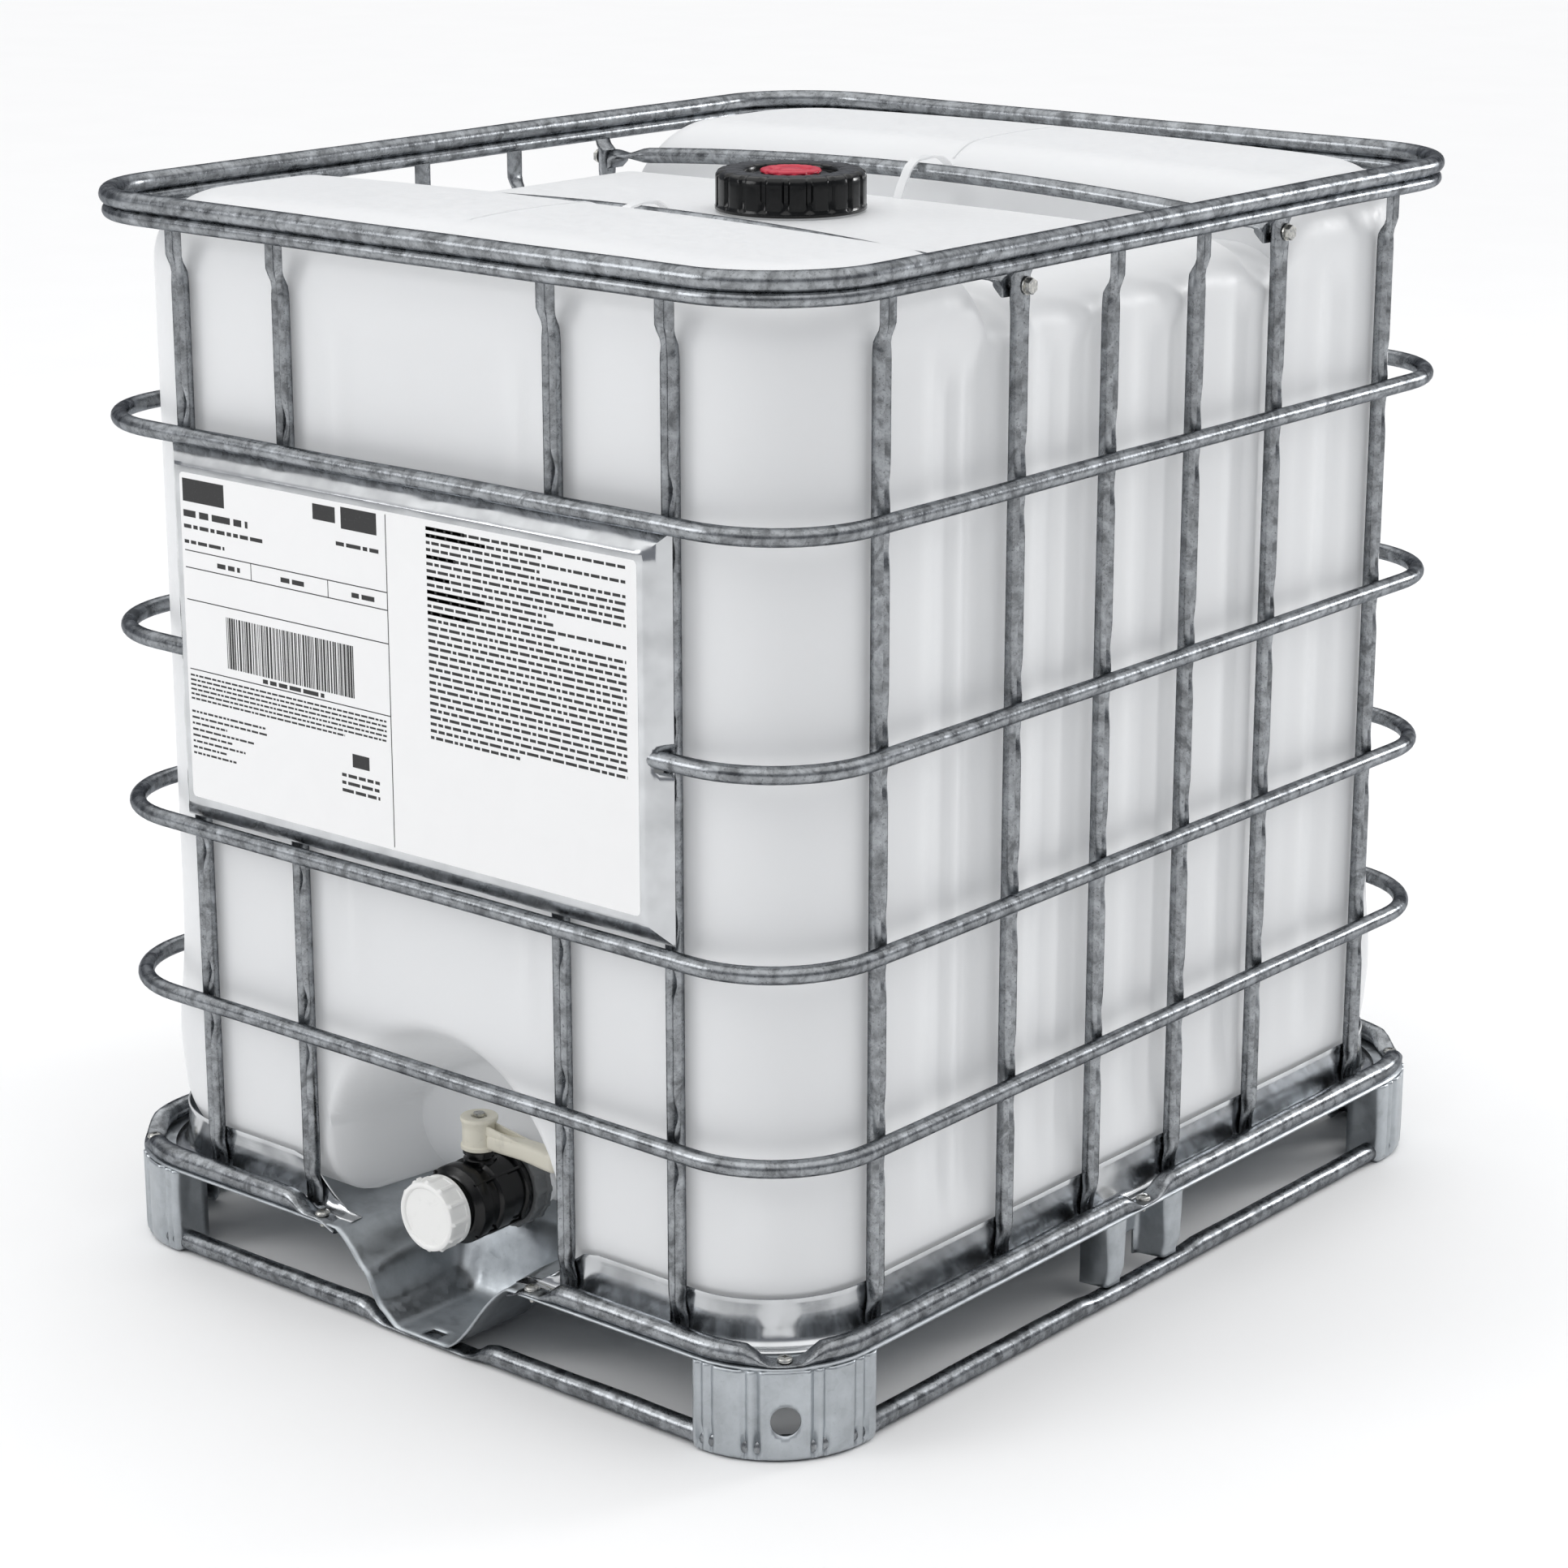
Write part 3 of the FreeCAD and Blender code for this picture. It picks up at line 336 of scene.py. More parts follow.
def pale_floor():
    """Plain studio floor, painted nearly white with a faint roller texture."""
    material, tree, shader, place = start_material("painted_floor")
    mottle = grain(tree, place, 300)
    feed(tree, shader, Base_Color=two_tone(tree, mottle, solid("#f5f5f5"), solid("#f8f8f8")))
    fix(shader, Roughness=0.7)
    bumped(tree, shader, (grain(tree, place, 12), 0.05))
    return material


# each plastic: its colour property, its roughness, and where it differs its scuffs' tone and its gloss
PLASTICS = {
    "black_moulded_polypropylene": ("lid", 0.17, 1.35, 0.35),
    "red_moulded_polyethylene": ("vent", 0.30),
    "cream_moulded_nylon": ("lever", 0.36, 0.86),
    "white_moulded_polyethylene": ("cap", 0.38, 0.92),
    "grey_moulded_polypropylene": ("union", 0.4),
}
FINISHES = {
    "blown_polyethylene": blown_polyethylene, "epdm_rubber": seal_rubber,
    "welded_galvanised_tube": galvanised_tube, "hot_dip_galvanised_sheet": galvanised_sheet,
    "bright_rolled_sheet": bright_sheet, "zinc_plated_steel": zinc_plate,
    "coated_label_paper": label_paper, "thermal_print": printing_ink, "painted_floor": pale_floor,
}


def finish_of(name):
    """The material of that name, made the first time it is asked for."""
    made = bpy.data.materials.get(name)
    if made:
        return made
    if name in PLASTICS:
        return moulded_plastic(name, *PLASTICS[name])
    return FINISHES[name]()


# ---------------------------------------------------------------- mesh helpers
def ramp(value, start, end):
    """A smooth step from 0 at start to 1 at end."""
    share = min(1.0, max(0.0, (value - start) / (end - start)))
    return share * share * (3 - 2 * share)


def mix(first, second, share):
    return first + (second - first) * share


def bell(value, centre, width):
    return math.exp(-((value - centre) / width) ** 2)


def edges_of(verts):
    return list({edge for vert in verts for edge in vert.link_edges})


def verts_of(edges):
    return list({vert for edge in edges for vert in edge.verts})


def span(edge):
    """How far an edge reaches along each axis."""
    step = edge.verts[0].co - edge.verts[1].co
    return Vector((abs(step.x), abs(step.y), abs(step.z)))


def polar(point):
    """How far a point lies from the Z axis, and at what angle."""
    return math.hypot(point.x, point.y), math.atan2(point.y, point.x)


def chain(bm, points, closed=False):
    """Edges through a few points."""
    verts = [bm.verts.new(point) for point in points]
    pairs = list(zip(verts, verts[1:]))
    if closed:
        pairs.append((verts[-1], verts[0]))
    return [bm.edges.new(pair) for pair in pairs]


def hoop(bm, radius, segments, matrix):
    """The edges of a circle."""
    return edges_of(bmesh.ops.create_circle(bm, segments=segments, radius=radius, matrix=matrix)["verts"])


def drawn_out(bm, edges):
    """Doubles edges into a strip, and gives the new verts and the new outer edges."""
    made = bmesh.ops.extrude_edge_only(bm, edges=edges)["geom"]
    verts = {part for part in made if isinstance(part, bmesh.types.BMVert)}
    return verts, [part for part in made if isinstance(part, bmesh.types.BMEdge) and set(part.verts) <= verts]


def run(bm, edges, vector, steps=1):
    """Draws edges out along a straight run and gives the last edges."""
    vector = Vector(vector) / steps
    for _ in range(steps):
        moved, edges = drawn_out(bm, edges)
        bmesh.ops.translate(bm, vec=vector, verts=list(moved))
    return edges


def turn(bm, edges, centre, axis, angle, steps, climb=(0, 0, 0)):
    """Turns edges about an axis and gives the last edges."""
    last = bmesh.ops.spin(bm, geom=edges + verts_of(edges), cent=centre, axis=axis, dvec=climb, angle=angle,
                          steps=steps, use_merge=False, use_duplicate=False)["geom_last"]
    return [part for part in last if isinstance(part, bmesh.types.BMEdge)]


def weld(bm, distance=0.01):
    bmesh.ops.remove_doubles(bm, verts=bm.verts, dist=distance)


def outward(bm):
    bmesh.ops.recalc_face_normals(bm, faces=bm.faces)


def fill_ends(bm):
    """Closes the open ends of a tube."""
    bmesh.ops.holes_fill(bm, edges=[edge for edge in bm.edges if edge.is_boundary], sides=0)


def cut_away(bm, inside):
    """Deletes the faces whose middles pass a test."""
    doomed = [face for face in bm.faces if inside(face.calc_center_median())]
    bmesh.ops.delete(bm, geom=doomed, context="FACES")


def face_out(bm):
    """Points a loose sheet's faces away from the container's middle."""
    outward(bm)
    if sum(face.normal.xy.dot(face.calc_center_median().xy) for face in bm.faces) < 0:
        bmesh.ops.reverse_faces(bm, faces=bm.faces[:])


def lying(x, y, z):
    """A place whose own Z axis is laid down towards -Y."""
    return Matrix.Translation((x, y, z)) @ Matrix.Rotation(QUARTER, 4, "X")


def carry(bm, edges, legs, pitch, corner_steps):
    """Carries edges along legs, each a straight run and a quarter turn about the corner's middle."""
    for vector, x, y in legs:
        edges = run(bm, edges, vector, max(1, round(Vector(vector).length / pitch)))
        edges = turn(bm, edges, (x, y, 0), UP, QUARTER, corner_steps)
    return edges


def closed_loop(bm, edges, half_x, half_y, corner, pitch, corner_steps):
    """Carries a section, drawn in the XZ plane at +X, round a rectangle with round corners."""
    end, side = half_x - corner, half_y - corner
    legs = (((0, side, 0), end, side), ((-2 * end, 0, 0), -end, side),
            ((0, -2 * side, 0), -end, -side), ((2 * end, 0, 0), end, -side))
    edges = carry(bm, edges, legs, pitch, corner_steps)
    run(bm, edges, (0, side, 0), max(1, round(side / pitch)))
    weld(bm)


def round_corner(x, y, end, side):
    """Carries a point beyond the corner's middle from the square corner to the round one."""
    over_x, over_y = abs(x) - end, abs(y) - side
    if over_x <= 0 or over_y <= 0:
        return x, y
    stretch = max(over_x, over_y) / math.hypot(over_x, over_y)
    return math.copysign(end + over_x * stretch, x), math.copysign(side + over_y * stretch, y)


def lathe(bm, points, steps, closed=True):
    """Turns a half section of (radius, height) points once round Z."""
    edges = chain(bm, [(radius, 0, height) for radius, height in points], closed)
    bmesh.ops.spin(bm, geom=edges + verts_of(edges), cent=(0, 0, 0), axis=UP, dvec=(0, 0, 0),
                   angle=math.tau, steps=steps, use_merge=True, use_duplicate=False)
    weld(bm)
    outward(bm)


def rounded_block(bm, size, centre, radius, segments=3):
    """A block with round edges; a radius of 0 leaves it sharp."""
    made = bmesh.ops.create_cube(bm, size=1.0)["verts"]
    bmesh.ops.scale(bm, vec=size, verts=made)
    bmesh.ops.translate(bm, vec=centre, verts=made)
    if radius:
        bmesh.ops.bevel(bm, geom=edges_of(made), offset=radius, affect="EDGES", segments=segments,
                        profile=0.5, material=-1)


def absorb(bm, other, matrix=None):
    """Adds another bmesh's shape to this one."""
    if matrix:
        bmesh.ops.transform(other, matrix=matrix, verts=other.verts)
    mesh = bpy.data.meshes.new("absorbed")
    other.to_mesh(mesh)
    other.free()
    bm.from_mesh(mesh)
    bpy.data.meshes.remove(mesh)


def on_valve_axis():
    """Takes a piece drawn up Z to the outlet's axis, with its height running towards -Y."""
    return lying(0, 0, VALVE_LEVEL)


def finish_piece(name, bm, finish, body, nodes=(), sharp=40, thickness=0.0):
    """Turns a bmesh in millimetres into an object that rides on a body and stands for its CAD nodes."""
    bmesh.ops.scale(bm, vec=(MM, MM, MM), verts=bm.verts)
    mesh = bpy.data.meshes.new(name)
    bm.to_mesh(mesh)
    bm.free()
    mesh.shade_smooth()
    mesh.set_sharp_from_angle(angle=math.radians(sharp))
    mesh.materials.append(finish_of(finish))
    piece = bpy.data.objects.new(name, mesh)
    bpy.context.scene.collection.objects.link(piece)
    if thickness:
        wall = piece.modifiers.new("wall", "SOLIDIFY")
        wall.thickness = thickness * MM
        wall.offset = -1
    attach(piece, body)
    if nodes:
        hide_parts(*nodes)
    return piece


def finish_tube(name, bm, *nodes):
    """Finishes a piece of the welded tube work."""
    finish_piece(name, bm, "welded_galvanised_tube", "container", nodes)


def finish_sheet(name, bm, thickness, *nodes):
    """Finishes a pressed sheet of the pallet, which gets its wall inwards."""
    finish_piece(name, bm, "hot_dip_galvanised_sheet", "container", nodes,
                 sharp=60, thickness=thickness)


class BuildStep:
    """What every building operator shares."""
    bl_options = {"REGISTER", "UNDO"}

    def execute(self, context):
        self.build()
        return {"FINISHED"}


# ---------------------------------------------------------------- tank
TANK_HALF_X = high_mm("tank").x
TANK_HALF_Y = high_mm("tank").y
TANK_LOW = low_mm("tank").z
TANK_TOP = high_mm("tank").z
TANK_CORNER = 125
TANK_END, TANK_SIDE = TANK_HALF_X - TANK_CORNER, TANK_HALF_Y - TANK_CORNER
LOW_ROUND = 75
BAND_LEVEL, BAR_CHANNEL_LEVEL = 1105, 1088
BAR_CHANNEL_HALF = 258
RECESS_HALF, RECESS_SPRING, RECESS_DEPTH = 167, 175, 121
SQUEEZE_FROM = 940
GRID = 120
# each pair is a distance and the number of cells from the one before it; a half has GRID / 2 cells
ACROSS = ((0, 0), (60, 6), (125, 8), (175, 10), (330, 16), (461, 20))
ALONG = ((0, 0), (160, 12), (184, 3), (204, 6), (250, 4), (275, 7), (340, 10), (436, 8), (561, 10))
HEIGHTS = ((99, 0), (174, 12), (350, 26), (960, 46), (1062, 14), (1150, 22))
# the wave of the long sides: places along one pitch and the depth there, as a share of the full depth
WAVE_PITCH, WAVE_START = 171, 41
WAVE = ((0, 0.0), (14, 0.55), (48, 0.95), (80, 0.55), (118, 0.12), (138, 0.75), (156, 0.9), (171, 0.0))


def grid_line(stops, cells):
    """The place of the line that lies so many cells along a row of stops."""
    for (start, _), (end, count) in zip(stops, stops[1:]):
        if cells <= count:
            return start + (end - start) * cells / count
        cells -= count
    return stops[-1][0]


def between(stops, place):
    """A smooth curve through stops of (place, height)."""
    for (start, first), (end, second) in zip(stops, stops[1:]):
        if place <= end:
            return mix(first, second, ramp(place, start, end))
    return stops[-1][1]


def depth_in_plan(x, y):
    """How far a point lies inside the tank's plan, and the way out."""
    over_x, over_y = abs(x) - TANK_END, abs(y) - TANK_SIDE
    if over_x > 0 and over_y > 0:
        reach = math.hypot(over_x, over_y)
        return TANK_CORNER - reach, Vector((math.copysign(over_x, x), math.copysign(over_y, y))) / reach
    if TANK_HALF_X - abs(x) < TANK_HALF_Y - abs(y):
        return TANK_HALF_X - abs(x), Vector((math.copysign(1, x), 0))
    return TANK_HALF_Y - abs(y), Vector((0, math.copysign(1, y)))


def top_level(x, y):
    """The height of the tank's top: two crowned pillows, two bar channels and the middle band."""
    from_middle = abs(y)
    band = BAND_LEVEL + 7 * (1 - ramp(math.hypot(x, y), 70, 170)) - 5 * (x / TANK_HALF_X) ** 2
    low = mix(band, BAR_CHANNEL_LEVEL, ramp(from_middle, 186, 206))
    share = min(1.0, max(0.0, (from_middle - BAR_CHANNEL_HALF + 2) / 74))
    rise = math.sqrt(1 - (1 - share) ** 2)
    hump = max(0.0, 1 - ((from_middle - 412) / 175) ** 2) * (1 - (x / TANK_HALF_X) ** 2)
    crown = (sizes().pillow_edge + sizes().pillow_crown * hump) / MM
    return mix(low, crown, rise)


def side_wave(y, z):
    """How deep a long side lies at a place: upright waves with rounded tops."""
    phase = (y - WAVE_START) % WAVE_PITCH
    from_ridge = min(phase, WAVE_PITCH - phase)
    rounded_top = 1078 - 26 * (1 - ramp(from_ridge, 8, 50))
    fade = (1 - ramp(z, rounded_top - 46, rounded_top)) * ramp(z, 150, 240)
    ends = ramp(-abs(y + 20), -415, -395)
    return between(WAVE, phase) * fade * ends * sizes().wall_wave / MM


def front_panel(x, z):
    """The shallow panel in the short sides, with soft edges and a rounded top."""
    level = 1 - ramp(z, 1020, 1066)
    return 4.5 * (1 - ramp(abs(x), 98, 126)) * level + 2.2 * bell(abs(x), 142, 13) * level


def recess(x, z):
    """1 inside the valve's arched recess and 0 outside it."""
    reach = math.hypot(x, max(0.0, z - RECESS_SPRING))
    lip = mix(15, 84, ramp(z, 180, 285))
    return ramp(-reach, -RECESS_HALF, lip - RECESS_HALF)


def tank_point(across, along, up):
    """Where a point of the gridded cube, from -1 to 1 each way, lies on the blown tank."""
    x = math.copysign(grid_line(ACROSS, abs(across) * GRID / 2), across)
    y = math.copysign(grid_line(ALONG, abs(along) * GRID / 2), along)
    z = grid_line(HEIGHTS, (up + 1) / 2 * GRID)
    x, y = round_corner(x, y, TANK_END, TANK_SIDE)
    depth, out = depth_in_plan(x, y)
    for level, radius, sign in ((TANK_LOW, LOW_ROUND, -1), (TANK_TOP, sizes().top_round / MM, 1)):
        gap = abs(level - z)
        if depth < radius and gap < radius:
            inward, upright = radius - depth, radius - gap
            stretch = max(inward, upright) / math.hypot(inward, upright)
            shift = out * inward * (stretch - 1)
            x, y = x + shift.x, y + shift.y
            z = level - sign * (radius - upright * stretch)
            break
    if z > SQUEEZE_FROM:
        z = SQUEEZE_FROM + (z - SQUEEZE_FROM) * (top_level(x, y) - SQUEEZE_FROM) / (TANK_TOP - SQUEEZE_FROM)
    on_side = ramp(abs(x), TANK_HALF_X - 70, TANK_HALF_X - 10)
    x -= math.copysign(side_wave(y, z) * on_side, x)
    on_end = ramp(abs(y), TANK_HALF_Y - 60, TANK_HALF_Y - 10)
    y -= math.copysign(front_panel(x, z) * on_end * ramp(z, 330, 420), y)
    swell = 6 * bell(z, 235, 70) * ramp(abs(x), 372, 420) * ramp(abs(y), 462, 505)
    x, y = x + math.copysign(swell, x), y + math.copysign(swell, y)
    if y < -330:
        y += RECESS_DEPTH * recess(x, z) * ramp(-y, 330, TANK_HALF_Y - 4)
    return Vector((x, y, z))


def thread(bm, radius, height, low, pitch, turns, width):
    """A helical ridge up Z: a small section carried round and up."""
    section = chain(bm, [(radius - 0.5, 0, low), (radius + height, 0, low + width * 0.25),
                         (radius + height, 0, low + width * 0.75), (radius - 0.5, 0, low + width)], True)
    steps = round(turns * 48)
    bmesh.ops.contextual_create(bm, geom=section + verts_of(section))
    last = turn(bm, section, (0, 0, 0), UP, turns * math.tau, steps, (0, 0, pitch * turns / steps))
    bmesh.ops.contextual_create(bm, geom=last)


def parting_straps(bm):
    """The moulded straps over the cross bars and the parting line along the pillows."""
    for sign in (1, -1):
        path = [(282, 1128), (266, 1141), (250, 1145.5), (228, 1146), (210, 1142.5), (196, 1128), (182, 1103)]
        strap = bmesh.new()
        edges = chain(strap, [(0, sign * along, height) for along, height in path])
        run(strap, edges, (11, 0, 0), 2)
        bmesh.ops.subdivide_edges(strap, edges=[edge for edge in strap.edges if span(edge).y > 1], cuts=2,
                                  use_grid_fill=True, smooth=1.0)
        outward(strap)
        bmesh.ops.solidify(strap, geom=strap.faces[:], thickness=2.6)
        absorb(bm, strap, Matrix.Translation((-5.5, 0, 0)))
        line = bmesh.new()
        start = 285 * sign
        ridge = ((-1.6, -0.6), (-0.5, 1.1), (0.5, 1.1), (1.6, -0.6))
        section = chain(line, [(across, start, height) for across, height in ridge])
        run(line, section, (0, sign * 252, 0), 42)
        for vert in line.verts:
            drop = ramp(abs(vert.co.y), 480, TANK_HALF_Y) * 34
            vert.co.z += top_level(0, vert.co.y) - drop
        outward(line)
        absorb(bm, line)


class BULK_OT_tank(BuildStep, bpy.types.Operator):
    """Build the blown tank with its neck, outlet spigot and parting straps"""
    bl_idname = "bulk.tank"
    bl_label = "Tank"

    def build(self):
        bm = bmesh.new()
        bmesh.ops.create_cube(bm, size=2.0)
        bmesh.ops.subdivide_edges(bm, edges=bm.edges[:], cuts=GRID - 1, use_grid_fill=True)
        for vert in bm.verts:
            vert.co = tank_point(*vert.co)
        outward(bm)
        parting_straps(bm)
        neck = bmesh.new()
        lathe(neck, [(66, 1100), (72, 1100), (72, 1139.5), (70.5, 1142), (67, 1142), (66, 1140.5)], 96)
        thread(neck, 72, 2.2, 1121, 6, 2.2, 4)
        absorb(bm, neck)
        spigot = bmesh.new()
        lathe(spigot, [(27, 425), (36, 425), (36, 460), (27, 460)], 64)
        absorb(bm, spigot, on_valve_axis())
        finish_piece("blown_tank", bm, "blown_polyethylene", "container", ["tank"], sharp=50)


# ---------------------------------------------------------------- cage
TUBE_SIDES = 24
CAGE_CORNER = 118


class BULK_OT_rings(BuildStep, bpy.types.Operator):
    """Build the four ring tubes of the cage"""
    bl_idname = "bulk.rings"
    bl_label = "Cage rings"

    def build(self):
        for name, level in zip(RINGS, RING_LEVELS):
            high = high_mm(f"cage_ring_{name}")
            radius = high.z - level
            half_x, half_y = high.x - radius, high.y - radius
            bm = bmesh.new()
            section = hoop(bm, radius, TUBE_SIDES, lying(half_x, 0, level))
            closed_loop(bm, section, half_x, half_y, CAGE_CORNER, 22, 14)
            for vert in bm.verts:
                vert.co.z += 1.1 * noise.noise(vert.co / 190 + Vector((level, 0, 0)))
            outward(bm)
            finish_tube(f"ring_tube_{name}", bm, f"cage_ring_{name}")


class BULK_OT_rail(BuildStep, bpy.types.Operator):
    """Build the double top rail: a tube with a smaller bead rolled below it"""
    bl_idname = "bulk.rail"
    bl_label = "Top rail"

    def build(self):
        high = high_mm("top_rail")
        bm = bmesh.new()
        half_x, half_y = high.x - 10, high.y - 10
        for radius, drop in ((10, 10), (7.5, 26.5)):
            tube = bmesh.new()
            section = hoop(tube, radius, TUBE_SIDES + 4, lying(half_x, 0, high.z - drop))
            closed_loop(tube, section, half_x, half_y, CAGE_CORNER, 18, 16)
            outward(tube)
            absorb(bm, tube)
        for vert in bm.verts:
            vert.co.z -= 0.5 + 0.5 * noise.noise(vert.co / 140)
        finish_tube("rolled_top_rail", bm, "top_rail")


UPRIGHT_LOW, UPRIGHT_TOP = 99, 1129
UPRIGHT_STEP = 6
# how far out the uprights' middle lines stand on the long sides and on the ends
SIDE_UPRIGHT_X, END_UPRIGHT_Y = 472, 571.5


def press_upright(point, bolted):
    """Presses a round tube: outer groove, dents beside the ring crossings, flattened ends; -Y is outward."""
    x, y, z = point
    outside = max(0.0, -y / 9)
    tip_from = 1104 if bolted else 1080
    tip, foot = ramp(z, tip_from, tip_from + 20), 1 - ramp(z, 116, 142)
    flat = max(tip, foot)
    lug = ramp(z, 1078, 1094) * (1 - ramp(z, 1118, 1126)) if bolted else 0.0
    x *= mix(mix(9.4, 12, flat), 12, lug) / 9
    y *= mix(mix(8.8, 3.2, flat), 8.3, lug) / 9
    y += mix(mix(0.0, 2.6, foot), -7.2, tip) * (1 - lug)
    depth = sizes().groove / MM * (1 - 0.6 * flat) * (1 - 0.75 * lug)
    y += depth * bell(x, 0, 2.7) * outside
    for level in RING_LEVELS:
        for side in (-1, 1):
            y += sizes().dent / MM * bell(z, level + side * 30, 12) * bell(x, 3.2, 4.4) * outside
    pinch = bell(z, tip_from + 4, 9) + 0.8 * bell(z, 136, 9)
    x *= 1 - 0.24 * pinch * (1 - lug)
    return Vector((x, y, z))


def upright_mesh(bolted):
    bm = bmesh.new()
    edges = hoop(bm, 9, 28, Matrix.Translation((0, 0, UPRIGHT_LOW)))
    length = UPRIGHT_TOP - UPRIGHT_LOW
    run(bm, edges, (0, 0, length), round(length / UPRIGHT_STEP))
    fill_ends(bm)
    for vert in bm.verts:
        vert.co = press_upright(vert.co, bolted)
    outward(bm)
    return bm


class BULK_OT_uprights(BuildStep, bpy.types.Operator):
    """Build the twenty pressed uprights of the cage"""
    bl_idname = "bulk.uprights"
    bl_label = "Uprights"

    def build(self):
        sides = {"front": (4, 0), "rear": (4, 180), "right": (6, 90), "left": (6, -90)}
        for side, (count, angle) in sides.items():
            for number in range(1, count + 1):
                node = f"{side}_upright_{number}"
                centre = middle_mm(node)
                if count == 6:
                    centre.x = math.copysign(SIDE_UPRIGHT_X, centre.x)
                else:
                    centre.y = math.copysign(END_UPRIGHT_Y, centre.y)
                centre.z = 0
                bm = upright_mesh(bolted=count == 6 and number in (2, 5))
                place = Matrix.Translation(centre) @ Matrix.Rotation(math.radians(angle), 4, "Z")
                bmesh.ops.transform(bm, matrix=place, verts=bm.verts)
                finish_tube(f"pressed_upright_{side}_{number}", bm, node)


BAR_REACH, BAR_RISE, BAR_RADIUS, BAR_END_LEVEL = 440, 19, 9, 1112


class BULK_OT_cross_bars(BuildStep, bpy.types.Operator):
    """Build the two arched cross bars with flattened, bent-down ends"""
    bl_idname = "bulk.cross_bars"
    bl_label = "Cross bars"

    def build(self):
        bow = (BAR_REACH * BAR_REACH + BAR_RISE * BAR_RISE) / (2 * BAR_RISE)
        centre = Vector((0, 0, BAR_END_LEVEL + BAR_RISE - bow))
        half_angle = math.asin(BAR_REACH / bow)
        start = (Matrix.Translation(centre) @ Matrix.Rotation(-half_angle, 4, "Y")
                 @ Matrix.Translation((0, 0, bow)) @ Matrix.Rotation(QUARTER, 4, "Y"))
        for end in ("front", "rear"):
            bm = bmesh.new()
            first = hoop(bm, BAR_RADIUS, 24, start)
            last = turn(bm, list(first), centre, (0, 1, 0), 2 * half_angle, 96)
            for edges, sign in ((last, 1), (first, -1)):
                edges = turn(bm, edges, (sign * 441, 0, 1102), (0, 1, 0), sign * (QUARTER - half_angle), 8)
                run(bm, edges, (0, 0, -8), 3)
            fill_ends(bm)
            for vert in bm.verts:
                vert.co = self.flattened(*vert.co)
            bmesh.ops.translate(bm, vec=(0, middle_mm(f"cross_bar_{end}").y, 0), verts=bm.verts)
            outward(bm)
            finish_tube(f"arched_cross_bar_{end}", bm, f"cross_bar_{end}")

    @staticmethod
    def flattened(x, y, z):
        """Flattens the bar towards its ends and lays them against the uprights' lugs."""
        out = abs(x)
        share, down = ramp(out, 405, 438), ramp(out, 441, 452)
        line = BAR_END_LEVEL + BAR_RISE * max(0.0, 1 - (out / BAR_REACH) ** 2)
        z = mix(z, line + (z - line) * 0.32, share * (1 - down))
        if out > 441:
            x = math.copysign(mix(out, 459.5 + (out - 450) * 0.3, down), x)
        return Vector((x, y * mix(1, 1.5, share), z))


# ---------------------------------------------------------------- pallet
RAIL_HALF_X, RAIL_HALF_Y, RAIL_CORNER, RAIL_LEVEL, RAIL_RADIUS = 489, 589, 115, 110, 11
SCREW_REACH = RAIL_CORNER * (1 - math.sqrt(0.5))
SKID_HALF_X, SKID_HALF_Y, SKID_CORNER, SKID_LEVEL, SKID_RADIUS = 485, 585, 104, 13, 11
# the drain channel cuts the upper tube this far to each side, and two screws hold its cut ends
CUT_END, CUT_SCREW = 126, 152
DECK_HALF_X, DECK_HALF_Y, DECK_CORNER, DECK_LEVEL = 498, 598, 118, 99


def screw_places():
    """Plan places of the nine pallet screws."""
    places = [(0, RAIL_HALF_Y)]
    for sign in (1, -1):
        places += [(sign * (RAIL_HALF_X - SCREW_REACH), end * (RAIL_HALF_Y - SCREW_REACH)) for end in (1, -1)]
        places += [(sign * RAIL_HALF_X, 0), (sign * CUT_SCREW, -RAIL_HALF_Y)]
    return places


